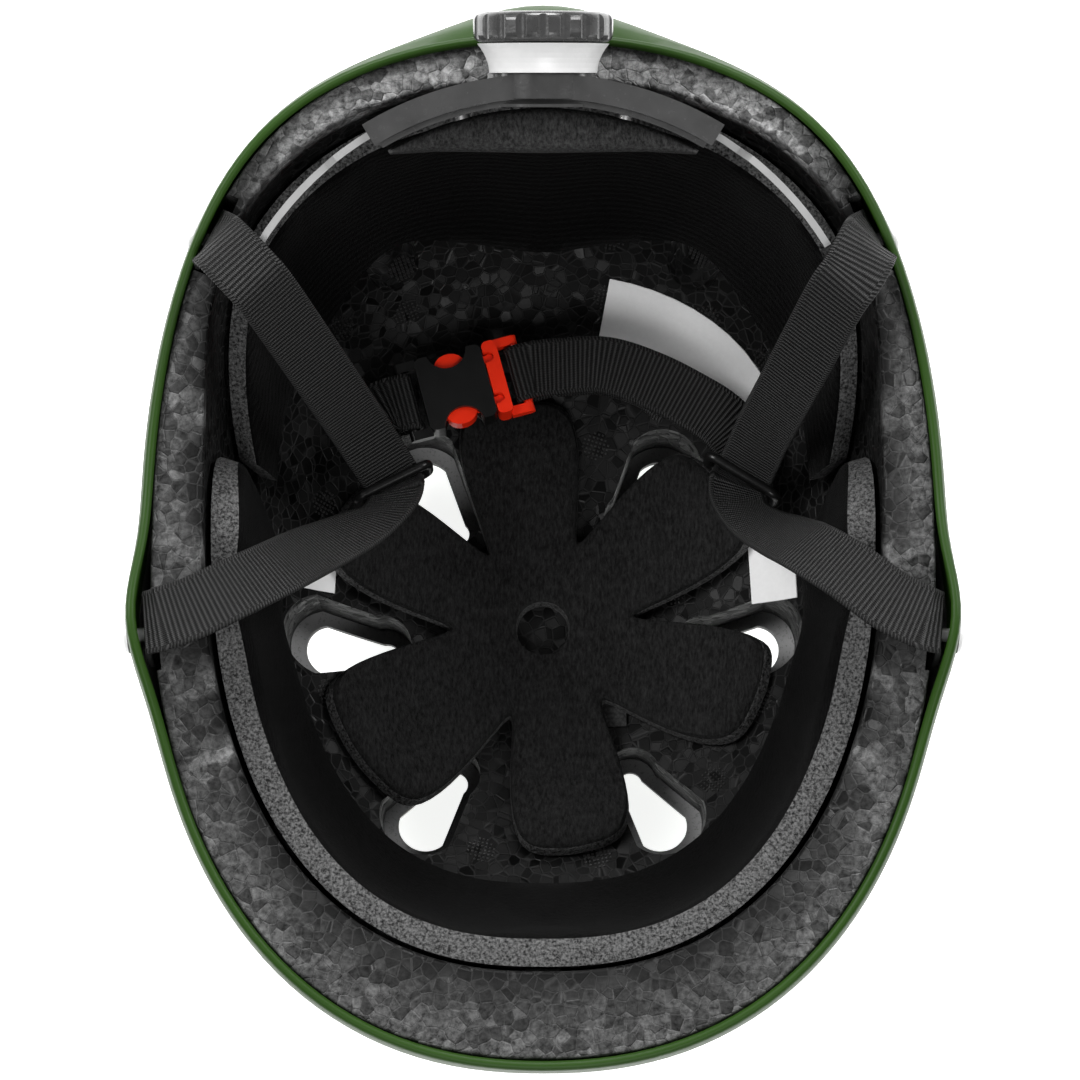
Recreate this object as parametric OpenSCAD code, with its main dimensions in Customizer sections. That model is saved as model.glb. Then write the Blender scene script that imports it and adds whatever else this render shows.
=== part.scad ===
// Multi-sport helmet, lying on its crown with the head opening upwards.
// +Z points out of the head opening, +Y to the back of the head, +X to the wearer's right.
// The origin is the lowest point of the crown. All sizes are in millimetres.

/* [Shell] */
// Half of the shell's width over the ears
shell_half_w = 103; // [94:1:112]
// Half of the shell's length from brow to nape
shell_half_l = 133; // [122:1:144]
// Thickness of the hard outer shell
shell_wall = 2.5; // [2:0.1:3.5]
// Height of the brow edge above the crown
brow_z = 108; // [100:1:116]
// Height of the nape edge above the crown
nape_z = 144; // [136:1:152]
// How far the edge reaches down behind each ear
corner_drop = 11; // [4:0.5:13]
// How far the edge reaches down at each temple
temple_drop = 8; // [3:0.5:11]
// How high the edge arches over each ear
ear_arch = 3; // [0:0.5:6]
// How far each temple flares out to let the strap through
temple_flare = 3.6; // [1.5:0.1:5]
// How far the nape edge curls in
nape_curl = 6; // [3:0.5:8]
// How far the shell bulges out below the nape edge
nape_bulge = 7.2; // [4:0.2:9]

/* [Foam liner] */
// Thickness of the foam at the brow
brow_foam = 22; // [16:0.5:26]
// Thickness of the foam over the ears
ear_foam = 14; // [11:0.5:17]
// Thickness of the foam at the nape
nape_foam = 15; // [13:0.5:18]
// How much thinner the foam is behind each ear
corner_hollow = 6; // [3:0.5:7]
// Thickness of the foam under the crown
crown_foam = 22; // [16:0.5:26]
// Play between the shell and the foam
liner_play = 0.45; // [0.3:0.05:0.6]

/* [Vents] */
// Radius of the wide end of a vent
vent_wide_r = 7.5; // [6:0.25:9]
// Radius of the narrow end of a vent
vent_narrow_r = 3.5; // [2.5:0.25:5]
// Distance between a vent's two end centres
vent_length = 15; // [10:1:19]
// Distance of the crown vents from the middle of the crown
vent_ring_r = 52; // [48:1:57]
// How much wider the foam's openings are than the shell's
vent_step = 4; // [2:0.5:5]

/* [Pads] */
// Thickness of the brow pad
brow_pad_t = 9; // [6:0.5:10]
// Thickness of the nape wall pad
wall_pad_t = 6.5; // [5:0.5:7.5]
// Thickness of the crown pad
crown_pad_t = 6; // [4:0.5:8]
// Reach of the crown pad's petals from its middle
petal_reach = 66; // [58:1:70]
// Where the slots between the petals end
slot_reach = 32; // [26:1:38]
// Radius of the hole in the middle of the crown pad
pad_hole_r = 7.25; // [5:0.25:10]

/* [Straps] */
// Width of the webbing
web_w = 16; // [14:0.5:18]
// Thickness of the webbing
web_t = 1.5; // [1:0.1:1.8]
// Thickness of the strap rings' rod
ring_rod = 2.6; // [2:0.1:3]
// Radius of a strap rivet's head
rivet_head_r = 4.5; // [3.5:0.25:6]

/* [Dial cradle] */
// Radius of the arc on which the fit arms run
arc_r = 84; // [80:1:88]
// Backwards lean of the cradle
cradle_lean = 20; // [16:1:24]
// Half of the yoke's arc
yoke_half_angle = 31; // [28:1:34]
// Radius of the fit dial
dial_r = 17.5; // [15:0.5:19]
// Thickness of the fit dial
dial_t = 7.5; // [6:0.5:9]
// Number of pinion teeth
pinion_teeth = 8; // [7:1:10]
// Tooth module of the pinion and the arm racks
tooth_module = 1; // [0.8:0.1:1.2]
// Thickness of the fit arms
arm_t = 1.8; // [1.4:0.1:2.2]
// Distance each arm is drawn in at the tightest fit
arm_travel = 20; // [12:1:24]

/* [Buckle] */
// Width of the buckle's body
buckle_w = 21; // [19:0.5:24]
// Length of the buckle's socket
socket_l = 19; // [17:0.5:22]
// Thickness of the buckle
buckle_t = 9; // [8:0.5:10]
// Wall of the buckle's socket
buckle_wall = 1.6; // [1.2:0.1:2]

/* [Hidden] */
$fn = 48;

// The form of the shell
outline_power = 2.3;
profile_power = 2.35;
side_curl = 1.5;
band_side = 14;
band_lean = 3;
flare_start_z = 45;
flare_angle = -12;
temple_angle = -13;
corner_angle = 52;
ear_angle = 18;
hollow_angle = 45;
hollow_width = 22;
tail_width = 11;
liner_setback = 2.5;
crown_y = -7;

// Steps of the curved surfaces
shell_steps_round = 56;
shell_steps_up = 12;
band_steps = 6;

function bump(x, centre, width) = exp(-pow((x - centre) / width, 2));
function ramp(x) = min(1, max(0, x));
function side_of(a) = asin(sin(a));
function tail(a) = nape_bulge * bump(side_of(a), 90, tail_width);
function outline(a) = tail(a) + pow(pow(abs(cos(a)) / shell_half_w, outline_power)
    + pow(abs(sin(a)) / shell_half_l, outline_power), -1 / outline_power);
function outline_normal(a) = atan2(
    sign(sin(a)) * pow(abs(sin(a)) / shell_half_l, outline_power - 1) / shell_half_l,
    sign(cos(a)) * pow(abs(cos(a)) / shell_half_w, outline_power - 1) / shell_half_w);
function edge_base(a) = brow_z + (nape_z - brow_z) * (1 + sin(a)) / 2;
function edge_waves(a) = corner_drop * bump(side_of(a), corner_angle, 18)
    + temple_drop * bump(side_of(a), temple_angle, 11) - ear_arch * bump(side_of(a), ear_angle, 16);
function edge_z(a) = edge_base(a) + edge_waves(a);
function liner_edge_z(a) = edge_base(a) + edge_waves(a) * 0.75 - liner_setback;
function widest_z(a) = edge_base(a) - band_side - band_lean * sin(a);
function curl(a) = side_curl * abs(cos(a)) + nape_curl * pow(max(0, sin(a)), 3) + tail(a);
function curl_at(a, z) = curl(a) * pow(max(0, z - widest_z(a)) / (edge_z(a) - widest_z(a)), 2);
function flare_at(a, z) = temple_flare * bump(side_of(a), flare_angle, 9.5)
    * pow(ramp((z - flare_start_z) / (brow_z - flare_start_z)), 1.5);
function foam(a) = tail(a) + ear_foam * pow(cos(a), 2)
    + (sin(a) > 0 ? nape_foam : brow_foam) * pow(sin(a), 2)
    - corner_hollow * bump(side_of(a), hollow_angle, hollow_width);

// Radii of the four skins at a direction and a height
function rho(a, z, foot) = pow(max(0, 1 - pow(max(0, widest_z(a) - z) / (widest_z(a) - foot),
    profile_power)), 1 / profile_power);
shell_in = shell_wall;
liner_out = shell_wall + liner_play;
liner_foot = liner_out + crown_foam;
function shell_r(a, z, inset) = (outline(a) - inset) * rho(a, z, inset) - curl_at(a, z) + flare_at(a, z);
function liner_out_r(a, z) = (outline(a) - liner_out) * rho(a, z, liner_out) - curl_at(a, z);
function liner_in_full(a) = outline(a) - liner_out - foam(a);
function liner_in_r(a, z) = liner_in_full(a) * rho(a, z, liner_foot);
function polar(a, r, z) = [r * cos(a), r * sin(a), z];

// Height of the bowl's floor over a place in plan, and the slope of its wall
function bowl_z(a, r) = widest_z(a) - (widest_z(a) - liner_foot)
    * pow(max(0, 1 - pow(min(1, r / liner_in_full(a)), profile_power)), 1 / profile_power);
function bowl_lean(a, z) = z >= widest_z(a) ? 0 : atan2(
    pow((widest_z(a) - z) / (widest_z(a) - liner_foot), profile_power - 1) / (widest_z(a) - liner_foot),
    pow(rho(a, z, liner_foot), profile_power - 1) / liner_in_full(a));
// A place on the bowl's wall at a height, lifted off the foam
function wall_point(a, z, lift) = polar(a, liner_in_r(a, z) - lift * cos(bowl_lean(a, z)),
    z + lift * sin(bowl_lean(a, z)));
// A place on the bowl's floor given in plan, lifted off the foam
function floor_point(x, y, lift) = let(a = atan2(y, x), r = norm([x, y]), z = bowl_z(a, r),
    lean = bowl_lean(a, z)) [x - lift * cos(lean) * cos(a), y - lift * cos(lean) * sin(a),
    z + lift * sin(lean)];

// One closed skin through rings of points, open or joined end to end
module skin(rings, joined = false) {
    count = len(rings[0]);
    last = len(rings) - 1;
    ends = joined ? [] : [mean_point(rings[0]), mean_point(rings[last])];
    sides = [for (i = [0:joined ? last : last - 1]) for (j = [0:count - 1])
        let(here = i * count, next = (i + 1) % (last + 1) * count, step = (j + 1) % count)
        each [[here + j, here + step, next + step], [here + j, next + step, next + j]]];
    start = (last + 1) * count;
    caps = joined ? [] : [for (j = [0:count - 1]) let(step = (j + 1) % count)
        each [[start, step, j], [start + 1, last * count + j, last * count + step]]];
    polyhedron([for (r = rings) each r, each ends], concat(sides, caps));
}
function mean_point(points) = [for (k = [0:2]) sum([for (p = points) p[k]]) / len(points)];
function sum(list, i = 0) = i == len(list) ? 0 : list[i] + sum(list, i + 1);

// Shell and liner
function dome_ring(a, count, foot, reach) = [for (i = [1:count]) let(t = 90 * i / count)
    polar(a, reach * pow(sin(t), 2 / profile_power),
        foot + (widest_z(a) - foot) * (1 - pow(cos(t), 2 / profile_power)))];
function shell_line(a, inset, up) = [for (p = dome_ring(a, up, inset, outline(a) - inset))
    polar(a, norm([p.x, p.y]) + flare_at(a, p.z), p.z)];
function shell_band(a, inset) = [for (i = [1:band_steps])
    let(z = widest_z(a) + (edge_z(a) - widest_z(a)) * i / band_steps) polar(a, shell_r(a, z, inset), z)];
function liner_band(a, outer) = [for (i = [1:band_steps])
    let(z = widest_z(a) + (liner_edge_z(a) - widest_z(a)) * i / band_steps)
    polar(a, outer ? liner_out_r(a, z) : liner_in_r(a, z), z)];
function reversed(list) = [for (i = [len(list) - 1:-1:0]) list[i]];
// A bowl between an outer and an inner set of meridian lines
module bowl(lines, outer_foot, inner_foot) {
    count = len(lines[0]);
    around = len(lines);
    outer_pole = around * count;
    wall = [for (i = [0:around - 1]) for (j = [0:count - 2])
        let(here = i * count + j, next = (i + 1) % around * count + j)
        each [[here, here + 1, next + 1], [here, next + 1, next]]];
    poles = [for (i = [0:around - 1]) let(next = (i + 1) % around)
        each [[outer_pole, i * count, next * count],
            [outer_pole + 1, (next + 1) * count - 1, (i + 1) * count - 1]]];
    polyhedron([for (l = lines) each l, [0, 0, outer_foot], [0, 0, inner_foot]], concat(wall, poles));
}
vent_angles = [0, 56, 124, 180, 236, 304];
vent_y = crown_y - 4;
slant_vents = [[246, 62], [294, 62], [65, 62], [115, 62]];
slant = 48;
module teardrop(grow, low, high) hull() {
    translate([vent_length / 2, 0, low]) cylinder(r = vent_wide_r + grow, h = high - low, $fn = 28);
    translate([-vent_length / 2, 0, low]) cylinder(r = vent_narrow_r + grow, h = high - low, $fn = 28);
}
module vents(grow) {
    for (a = vent_angles)
        translate([0, vent_y, 0]) rotate(a) translate([vent_ring_r, 0, 0]) teardrop(grow, -1, 60);
    for (v = slant_vents)
        translate(polar(v[0], shell_r(v[0], v[1], 0), v[1])) rotate(v[0]) rotate([0, 90 + slant - 20, 0])
            mirror([1, 0, 0]) teardrop(grow, -12 - grow * 8, 14);
}
// The straps were laid out in a shell of this size, and their places are stretched with it
laid_half_w = 103;
laid_half_l = 133;
function fitted(s) = [for (k = [0:len(s) - 1])
    s[k] * (k == 0 ? shell_half_w / laid_half_w : k == 1 ? shell_half_l / laid_half_l : 1)];
function all_fitted(list) = [for (s = list) fitted(s)];
function fitted_angle(a) = let(s = fitted([cos(a), sin(a)])) atan2(s.y, s.x);
rear_strap_angle = fitted_angle(41);
front_strap_angle = fitted_angle(-13);
strap_angles = [rear_strap_angle, front_strap_angle, 180 - front_strap_angle, 180 - rear_strap_angle];
rivet_drop = 14;
strap_play = 1.4;
flare_play = 0.6;
function strap_gap(a) = strap_play + (sin(a) > 0 ? 0 : flare_play);
function strap_seat(a) = shell_wall + strap_gap(a) + web_t + 0.35;
rivet_post_r = 1.8;
washer_t = 1;
function rivet_z(a) = edge_z(a) - rivet_drop;
module at_rivet(a) {
    translate(polar(a, shell_r(a, rivet_z(a), 0), rivet_z(a))) rotate(outline_normal(a)) rotate([0, 90, 0])
        children();
}
module outer_shell() color([0.2, 0.42, 0.1]) difference() {
    bowl([for (i = [0:shell_steps_round - 1]) let(a = 360 * i / shell_steps_round)
        concat(shell_line(a, 0, shell_steps_up), shell_band(a, 0),
            reversed(shell_band(a, shell_in)), reversed(shell_line(a, shell_in, shell_steps_up)))],
        0, shell_in);
    vents(0);
    for (a = strap_angles) at_rivet(a) {
        translate([0, 0, -10]) cylinder(r = rivet_post_r + 0.2, h = 20, $fn = 24);
        translate([0, 0, -0.3]) cylinder(r = rivet_head_r + 0.2, h = 10, $fn = 24);
    }
}
strap_pocket_depth = strap_play + web_t + washer_t + 2;
module strap_pockets() {
    for (a = strap_angles) at_rivet(a)
        translate([-60, -web_w / 2 - 2, -shell_wall - strap_pocket_depth])
            cube([60 + web_w / 2 + 2, web_w + 4, 30]);
}
stud_r = 3;
stud_z = nape_z - 26;
stud_l = 6;
fit_play = 0.2;
module foam_liner() color([0.22, 0.22, 0.23]) difference() {
    bowl([for (i = [0:shell_steps_round - 1]) let(a = 360 * i / shell_steps_round)
        concat(dome_ring(a, shell_steps_up, liner_out, outline(a) - liner_out), liner_band(a, true),
            reversed(liner_band(a, false)),
            reversed(dome_ring(a, shell_steps_up, liner_foot, liner_in_full(a))))],
        liner_out, liner_foot);
    vents(vent_step);
    strap_pockets();
    translate([0, liner_in_full(90) - 1, stud_z]) rotate([-90, 0, 0])
        cylinder(r = stud_r + fit_play, h = stud_l + 1.5, $fn = 24);
}

// Pads
pad_lift = 1.5;
function pad_ring(a, low, high, lift, t, rows) = concat(
    [for (i = [0:rows]) wall_point(a, low + (high - low) * i / rows, lift)],
    [for (i = [rows:-1:0]) let(v = i / rows)
        wall_point(a, low + (high - low) * (0.06 + 0.88 * v), lift + t * (0.5 + 0.5 * pow(sin(180 * v), 0.6)))]);
brow_pad_end = 17;
brow_pad_h = 54;
brow_pad_gap = 8;
brow_pad_steps = 40;
module brow_pad() color([0.07, 0.07, 0.07]) skin([for (i = [0:brow_pad_steps])
    let(u = i / brow_pad_steps, a = 180 - brow_pad_end + u * (180 + 2 * brow_pad_end),
        fade = sqrt(1 - pow(1 - min(1, min(u, 1 - u) * 12 + 0.02), 2)),
        middle = edge_base(a) - brow_pad_gap - brow_pad_h / 2)
    pad_ring(a, middle - brow_pad_h / 2 * fade, middle + brow_pad_h / 2 * fade, pad_lift,
        brow_pad_t * (0.6 + 0.4 * fade), 5)]);
wall_pad_low = 64;
scallop = 9;
scallop_angle = 24;
wall_pad_gap = 10;
wall_pad_steps = 34;
wall_pad_half = 70;
hanger_t = 1.6;
stud_head_t = 1.2;
wall_pad_end_z = 76;
function wall_taper(a, z, end_z) = z + (end_z - z) * ramp((abs(a - 90) - 44) / 26);
function wall_low(a) = wall_taper(a, wall_pad_low + scallop * bump(abs(a - 90), scallop_angle, 10), wall_pad_end_z - 7);
function wall_top(a) = wall_taper(a, edge_base(a) - wall_pad_gap, wall_pad_end_z + 7);
module wall_pad() color([0.05, 0.05, 0.05]) skin([for (i = [0:wall_pad_steps])
    let(a = 90 - wall_pad_half + 2 * wall_pad_half * i / wall_pad_steps)
    pad_ring(a, wall_low(a), wall_top(a), pad_lift + (hanger_t + stud_head_t + 0.2) * bump(a, 90, 9), wall_pad_t, 5)]);
// Direction and half angle of each slot between the petals
slots = [[7, 9], [68, 10.5], [126, 9.5], [181, 11], [250, 10], [309, 12]];
crown_pad_steps = 90;
function turn_between(a, b) = abs((a - b + 540) % 360 - 180);
function slot_near(a) = min([for (s = slots) turn_between(a, s[0]) / s[1]]);
function petal_r(a) = petal_reach - (petal_reach - slot_reach) * exp(-pow(slot_near(a), 2.6))
    - 5 * exp(-slot_near(a));
function crown_point(a, r, lift) = floor_point(r * cos(a), crown_y + r * sin(a), lift);
module crown_pad() color([0.04, 0.04, 0.04]) skin([for (i = [0:crown_pad_steps - 1])
    let(a = 360 * i / crown_pad_steps, r = petal_r(a), inner = pad_hole_r, mid = (r + inner) / 2)
    [crown_point(a, inner, pad_lift), crown_point(a, mid, pad_lift), crown_point(a, r, pad_lift),
        crown_point(a, r, pad_lift + crown_pad_t * 0.55), crown_point(a, r - 2.5, pad_lift + crown_pad_t * 0.9),
        crown_point(a, mid, pad_lift + crown_pad_t), crown_point(a, inner, pad_lift + crown_pad_t * 0.8)]],
    joined = true);
patch_w = 9;
patch_lift = 0.6;
patch_t = 0.6;
function patch_ring(x, y, half, k) = [floor_point(x + k * half, y + half, patch_lift),
    floor_point(x + k * half, y - half, patch_lift), floor_point(x + k * half, y - half, patch_lift + patch_t),
    floor_point(x + k * half, y + half, patch_lift + patch_t)];
function wall_patch_ring(a, z, half, k) = let(turn = a + k * half * 57.3 / liner_in_r(a, z))
    [wall_point(turn, z - half, patch_lift), wall_point(turn, z + half, patch_lift),
        wall_point(turn, z + half, patch_lift + patch_t), wall_point(turn, z - half, patch_lift + patch_t)];
module hook_patches() color([0.1, 0.1, 0.1]) {
    for (s = [0:5]) let(a = (slots[s][0] + slots[(s + 1) % 6][0] + (s == 5 ? 360 : 0)) / 2)
        skin([for (k = [-1:1:1]) patch_ring(42 * cos(a), crown_y + 42 * sin(a), patch_w / 2, k)]);
    skin([for (k = [-1:1:1]) patch_ring(19, crown_y - 23, patch_w / 2, k)]);
    for (a = [186, 228, 270, 312, 354]) skin([for (k = [-1:1:1]) wall_patch_ring(a, 92, patch_w / 2, k)]);
    for (a = [34, 62, 118, 146]) skin([for (k = [-1:1:1]) wall_patch_ring(a, 90, patch_w / 2, k)]);
}
label_t = 0.3;
label_lift = 0.4;
function label_ring(a, low, high) = concat([for (i = [0:3]) wall_point(a, low + (high - low) * i / 3, label_lift)],
    [for (i = [3:-1:0]) wall_point(a, low + (high - low) * i / 3, label_lift + label_t)]);
module blank_labels() color([0.8, 0.8, 0.8]) {
    skin([for (a = [42:4:78]) label_ring(a, 43, 55)]);
    skin([for (a = [-2:3:16]) label_ring(a, 42, 54)]);
    skin([for (a = [164:3:179]) label_ring(a, 42, 50)]);
}

// Webbing: a flat strip along stations of place and width direction
function blend4(a, b, c, d, t) = 0.5 * (2 * b + (c - a) * t + (2 * a - 5 * b + 4 * c - d) * t * t
    + (3 * b - a - 3 * c + d) * t * t * t);
function smooth(list, parts) = let(last = len(list) - 1) concat([for (i = [0:last - 1]) for (k = [0:parts - 1])
    blend4(list[max(0, i - 1)], list[i], list[i + 1], list[min(last, i + 2)], k / parts)], [list[last]]);
function place(s) = [s[0], s[1], s[2]];
function unit(v) = v / norm(v);
function strip_ring(list, i, w, t) = let(
    along = unit(place(list[min(len(list) - 1, i + 1)]) - place(list[max(0, i - 1)])),
    flat = [cos(list[i][3]), sin(list[i][3]), 0],
    side = unit(flat - (flat * along) * along), up = cross(along, side), middle = place(list[i]))
    [middle + side * w / 2 + up * t / 2, middle + side * w / 2 - up * t / 2,
        middle - side * w / 2 - up * t / 2, middle - side * w / 2 + up * t / 2];
module strip(list, w, t) skin([for (i = [0:len(list) - 1]) strip_ring(list, i, w, t)]);
// Stations round a bar: bar place, bar direction, and the turn about it
wrap_play = 0.3;
function wrap_r(bar_r) = bar_r + wrap_play + web_t / 2;
function round_bar(bar, bar_angle, bar_r, from, to, count) = [for (i = [0:count]) let(t = from + (to - from) * i / count)
    [bar.x + wrap_r(bar_r) * cos(t) * sin(bar_angle), bar.y - wrap_r(bar_r) * cos(t) * cos(bar_angle),
        bar.z + wrap_r(bar_r) * sin(t), bar_angle]];

// The strap rings hang in the bowl
ring_left = fitted([-41, 28, 60]);
ring_left_angle = 27;
ring_right = fitted([54.5, 29.5, 60]);
ring_right_angle = -32;
ring_drop = 5.2;
ring_r = ring_rod / 2;
ring_half = web_w / 2 + ring_r + 1.4;
bend_r = 2.4;
module strap_ring() color([0.05, 0.05, 0.05]) {
    for (s = [-1, 1]) {
        translate([-ring_half + bend_r, 0, s * ring_drop]) rotate([0, 90, 0])
            cylinder(r = ring_r, h = 2 * (ring_half - bend_r), $fn = 24);
        translate([s * ring_half, 0, -ring_drop + bend_r]) cylinder(r = ring_r, h = 2 * (ring_drop - bend_r), $fn = 24);
        for (v = [-1, 1]) translate([s * (ring_half - bend_r), 0, v * (ring_drop - bend_r)]) rotate([90, 0, 0])
            rotate(s > 0 ? (v > 0 ? 0 : -90) : (v > 0 ? 90 : 180))
                rotate_extrude(angle = 90, $fn = 48) translate([bend_r, 0]) circle(r = ring_r, $fn = 24);
    }
}
module strap_ring_left() translate(ring_left) rotate(ring_left_angle) strap_ring();
module strap_ring_right() translate(ring_right) rotate(ring_right_angle) strap_ring();

// Side straps: from the rear rivet over the edge, through the ring and up to the temple rivet
strap_end = 7;
strap_rise = 11;
strap_step = 4.5;
function wall_station(a, z) = let(r = shell_r(a, z, shell_in) - strap_gap(a) - web_t / 2)
    [r * cos(a), r * sin(a), z, outline_normal(a) + 90];
left_rear_path = all_fitted([[-81.8, 70.4, 148.6, 228], [-79, 67.2, 151, 224], [-74, 62, 150.4, 223], [-68.5, 56.8, 143, 222],
    [-58, 46.5, 112, 218], [-49, 38, 82, 212]]);
left_front_path = all_fitted([[-39.6, 24.4, 67.4, 206], [-42, 18, 74, 192], [-50, 9.5, 86, 162], [-60, 0.5, 103, 141], [-67.5, -7, 118, 134],
    [-78, -14.5, 127.5, 126], [-88, -19.8, 129.4, 119], [-96, -22.6, 129.2, 112]]);
right_rear_path = all_fitted([[81.8, 70.4, 148.6, -48], [80, 66.5, 151, -43], [77, 61, 150.4, -42], [72.5, 55.5, 143, -41],
    [64, 43, 112, -39], [59, 37, 84, -36]]);
right_front_path = all_fitted([[52.6, 26, 67.4, -31], [53, 19.5, 74, -12], [57, 11.5, 87, 14], [62.5, 4.5, 103, 33], [67.5, -1.5, 117.5, 42],
    [77, -10, 127.5, 50], [87, -18, 129.4, 60], [96, -22.4, 129.2, 68]]);
module side_strap(rear_a, front_a, rear_turn, front_turn, rear_path, ring, ring_angle, from, to, front_path)
    color([0.09, 0.09, 0.09]) difference() {
        strip(concat(
            [for (h = [-strap_end:strap_step:strap_rise]) wall_station(rear_a, rivet_z(rear_a) + h) + [0, 0, 0, rear_turn]],
            smooth(rear_path, 3),
            round_bar(ring + [0, 0, ring_drop], ring_angle, ring_r, from, to, 5),
            smooth(front_path, 3),
            [for (h = [strap_rise:-strap_step:-strap_end]) wall_station(front_a, rivet_z(front_a) + h) + [0, 0, 0, front_turn]]),
            web_w, web_t);
        for (a = [rear_a, front_a]) at_rivet(a) translate([0, 0, -10])
            cylinder(r = rivet_post_r + 0.2, h = 20, $fn = 24);
    }
module side_strap_left() side_strap(180 - rear_strap_angle, 180 - front_strap_angle, 0, -180,
    left_rear_path, ring_left, ring_left_angle + 180, -30, -150, left_front_path);
module side_strap_right() side_strap(rear_strap_angle, front_strap_angle, -180, 0,
    right_rear_path, ring_right, ring_right_angle, 210, 330, right_front_path);

// Rivets through the shell and their washers
module strap_rivets() color([0.85, 0.85, 0.87]) for (a = strap_angles) at_rivet(a)
    rotate_extrude($fn = 32) polygon(concat([[0, -strap_seat(a) - washer_t - 0.5],
        [rivet_post_r, -strap_seat(a) - washer_t - 0.5], [rivet_post_r, -0.25],
        [rivet_head_r, -0.25]], [for (t = [0:15:90]) [rivet_head_r * cos(t), 2 * sin(t)]]));
module rivet_washers() color([0.6, 0.6, 0.62]) for (a = strap_angles) at_rivet(a)
    translate([0, 0, -strap_seat(a) - washer_t]) difference() {
        cylinder(r = rivet_head_r, h = washer_t, $fn = 32);
        translate([0, 0, -1]) cylinder(r = rivet_post_r + 0.03, h = washer_t + 2, $fn = 24);
    }

// Buckle, drawn along its own axis with the plug on the +X side
buckle_at = fitted([-15, 58, 56]);
buckle_yaw = 15;
bar_r = 1.3;
bar_gap = 3.4;
socket_bar_x = -socket_l - bar_gap - bar_r;
plug_base_l = 4.5;
plug_bar_x = plug_base_l + bar_gap + bar_r;
plug_play = 0.3;
mouth_half = buckle_w / 2 - buckle_wall;
prong_y = 6;
pivot_x = 1.6;
knuckle_r = 1.2;
module at_buckle() translate(buckle_at) rotate(buckle_yaw) children();
module rounded_slab(from_x, to_x, half_w, half_t, r) translate([0, 0, -half_t]) linear_extrude(2 * half_t) hull()
    for (x = [from_x + r, to_x - r]) for (y = [-half_w + r, half_w - r]) translate([x, y]) circle(r = r, $fn = 32);
module bar_loop(bar_x, root_x) {
    for (s = [-1, 1]) translate([min(bar_x, root_x), s * (web_w / 2 + 1.9) - 1.3, -1.5])
        cube([abs(bar_x - root_x), 2.6, 3]);
    translate([bar_x, 0, 0]) rotate([90, 0, 0])
        cylinder(r = bar_r, h = web_w + 6.4, center = true, $fn = 32);
}
module buckle_socket() color([0.06, 0.06, 0.06]) at_buckle() {
    difference() {
        rounded_slab(-socket_l, 0, buckle_w / 2, buckle_t / 2, 2);
        translate([-socket_l + 2, -mouth_half, -buckle_t / 2 + buckle_wall])
            cube([socket_l, 2 * mouth_half, buckle_t - 2 * buckle_wall]);
        for (s = [-1, 1]) {
            translate([-9.5, s * (buckle_w / 2 + 0.8), -buckle_t]) cylinder(r = 5.6, h = 2 * buckle_t);
        }
    }
    bar_loop(socket_bar_x, -socket_l + 0.5);
}
module buckle_plug() color([0.9, 0.12, 0.03]) at_buckle() {
    difference() {
        union() {
            rounded_slab(plug_play, plug_base_l, buckle_w / 2, buckle_t / 2, 1.5);
            translate([-socket_l + 5, -1.5, -1.8]) cube([socket_l - 4, 3, 3.6]);
        }
        for (s = [-1, 1]) {
            translate([pivot_x, s * prong_y, -buckle_t]) cylinder(r = knuckle_r + 0.15, h = 2 * buckle_t, $fn = 32);
            translate([-1, s * prong_y - 1.5, -buckle_t]) cube([pivot_x + 1, 3, 2 * buckle_t]);
        }
    }
    bar_loop(plug_bar_x, plug_base_l - 0.5);
}
prong_t = buckle_t - 2 * buckle_wall - 0.6;
pad_half_l = 4.3;
module prong(s) translate([0, 0, -prong_t / 2]) linear_extrude(prong_t) polygon(concat(
    [for (t = [-120:30:120]) [pivot_x + knuckle_r * cos(t), s * prong_y + knuckle_r * sin(t)]],
    s > 0 ? [[-5, prong_y + 1.1]] : [[-15.5, -prong_y + 1.1], [-16.2, -prong_y - 0.6]],
    [for (t = [0:20:180]) [-9.5 + pad_half_l * cos(s > 0 ? t : 180 + t), s * (prong_y + 0.9)
        + (buckle_w / 2 - prong_y - 1.2) * sin(s > 0 ? t : 180 + t)]],
    s > 0 ? [[-16.2, prong_y + 0.6], [-15.5, prong_y - 1.1]] : [[-5, -prong_y - 1.1]]));
module buckle_prong_rear() color([0.95, 0.14, 0.03]) at_buckle() prong(1);
module buckle_prong_front() color([0.95, 0.14, 0.03]) at_buckle() prong(-1);

// Chin straps
function buckle_place(x, z) = [buckle_at.x + x * cos(buckle_yaw), buckle_at.y + x * sin(buckle_yaw),
    buckle_at.z + z, buckle_yaw + 90];
lap = 7;
chin_left_path = [[-45, 48.8, 59.3, 84], [-47.2, 43.2, 59.3, 62], [-46, 37, 58.6, 40]];
layer = wrap_r(bar_r);
ring_layer = wrap_r(ring_r);
module chin_strap_left() color([0.08, 0.08, 0.08]) strip(concat(
    [buckle_place(socket_bar_x - lap, -layer), buckle_place(socket_bar_x - lap / 2, -layer)],
    round_bar(place(buckle_place(socket_bar_x, 0)), buckle_yaw + 90, bar_r, -90, 90, 6),
    smooth([buckle_place(socket_bar_x - 3.5, layer + 0.4), each all_fitted(chin_left_path), ring_place(ring_left, ring_left_angle, 4.5, ring_layer + 0.4),
        ring_place(ring_left, ring_left_angle, 1.5, ring_layer)], 2),
    round_bar(ring_left - [0, 0, ring_drop], ring_left_angle, ring_r, 90, -90, 6),
    [ring_place(ring_left, ring_left_angle, 4, -ring_layer)]), web_w, web_t);
function ring_place(ring, angle, out, z) = [ring.x - out * sin(angle), ring.y + out * cos(angle),
    ring.z - ring_drop + z, angle];
chin_right_path = all_fitted([[4, 61.4, 60.5, 98], [17, 61, 63.5, 86], [29, 57.2, 63.5, 68], [40, 51.8, 62.6, 50],
    [49, 46.2, 61.2, 28], [54.5, 39.6, 59.4, 2]]);
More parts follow.
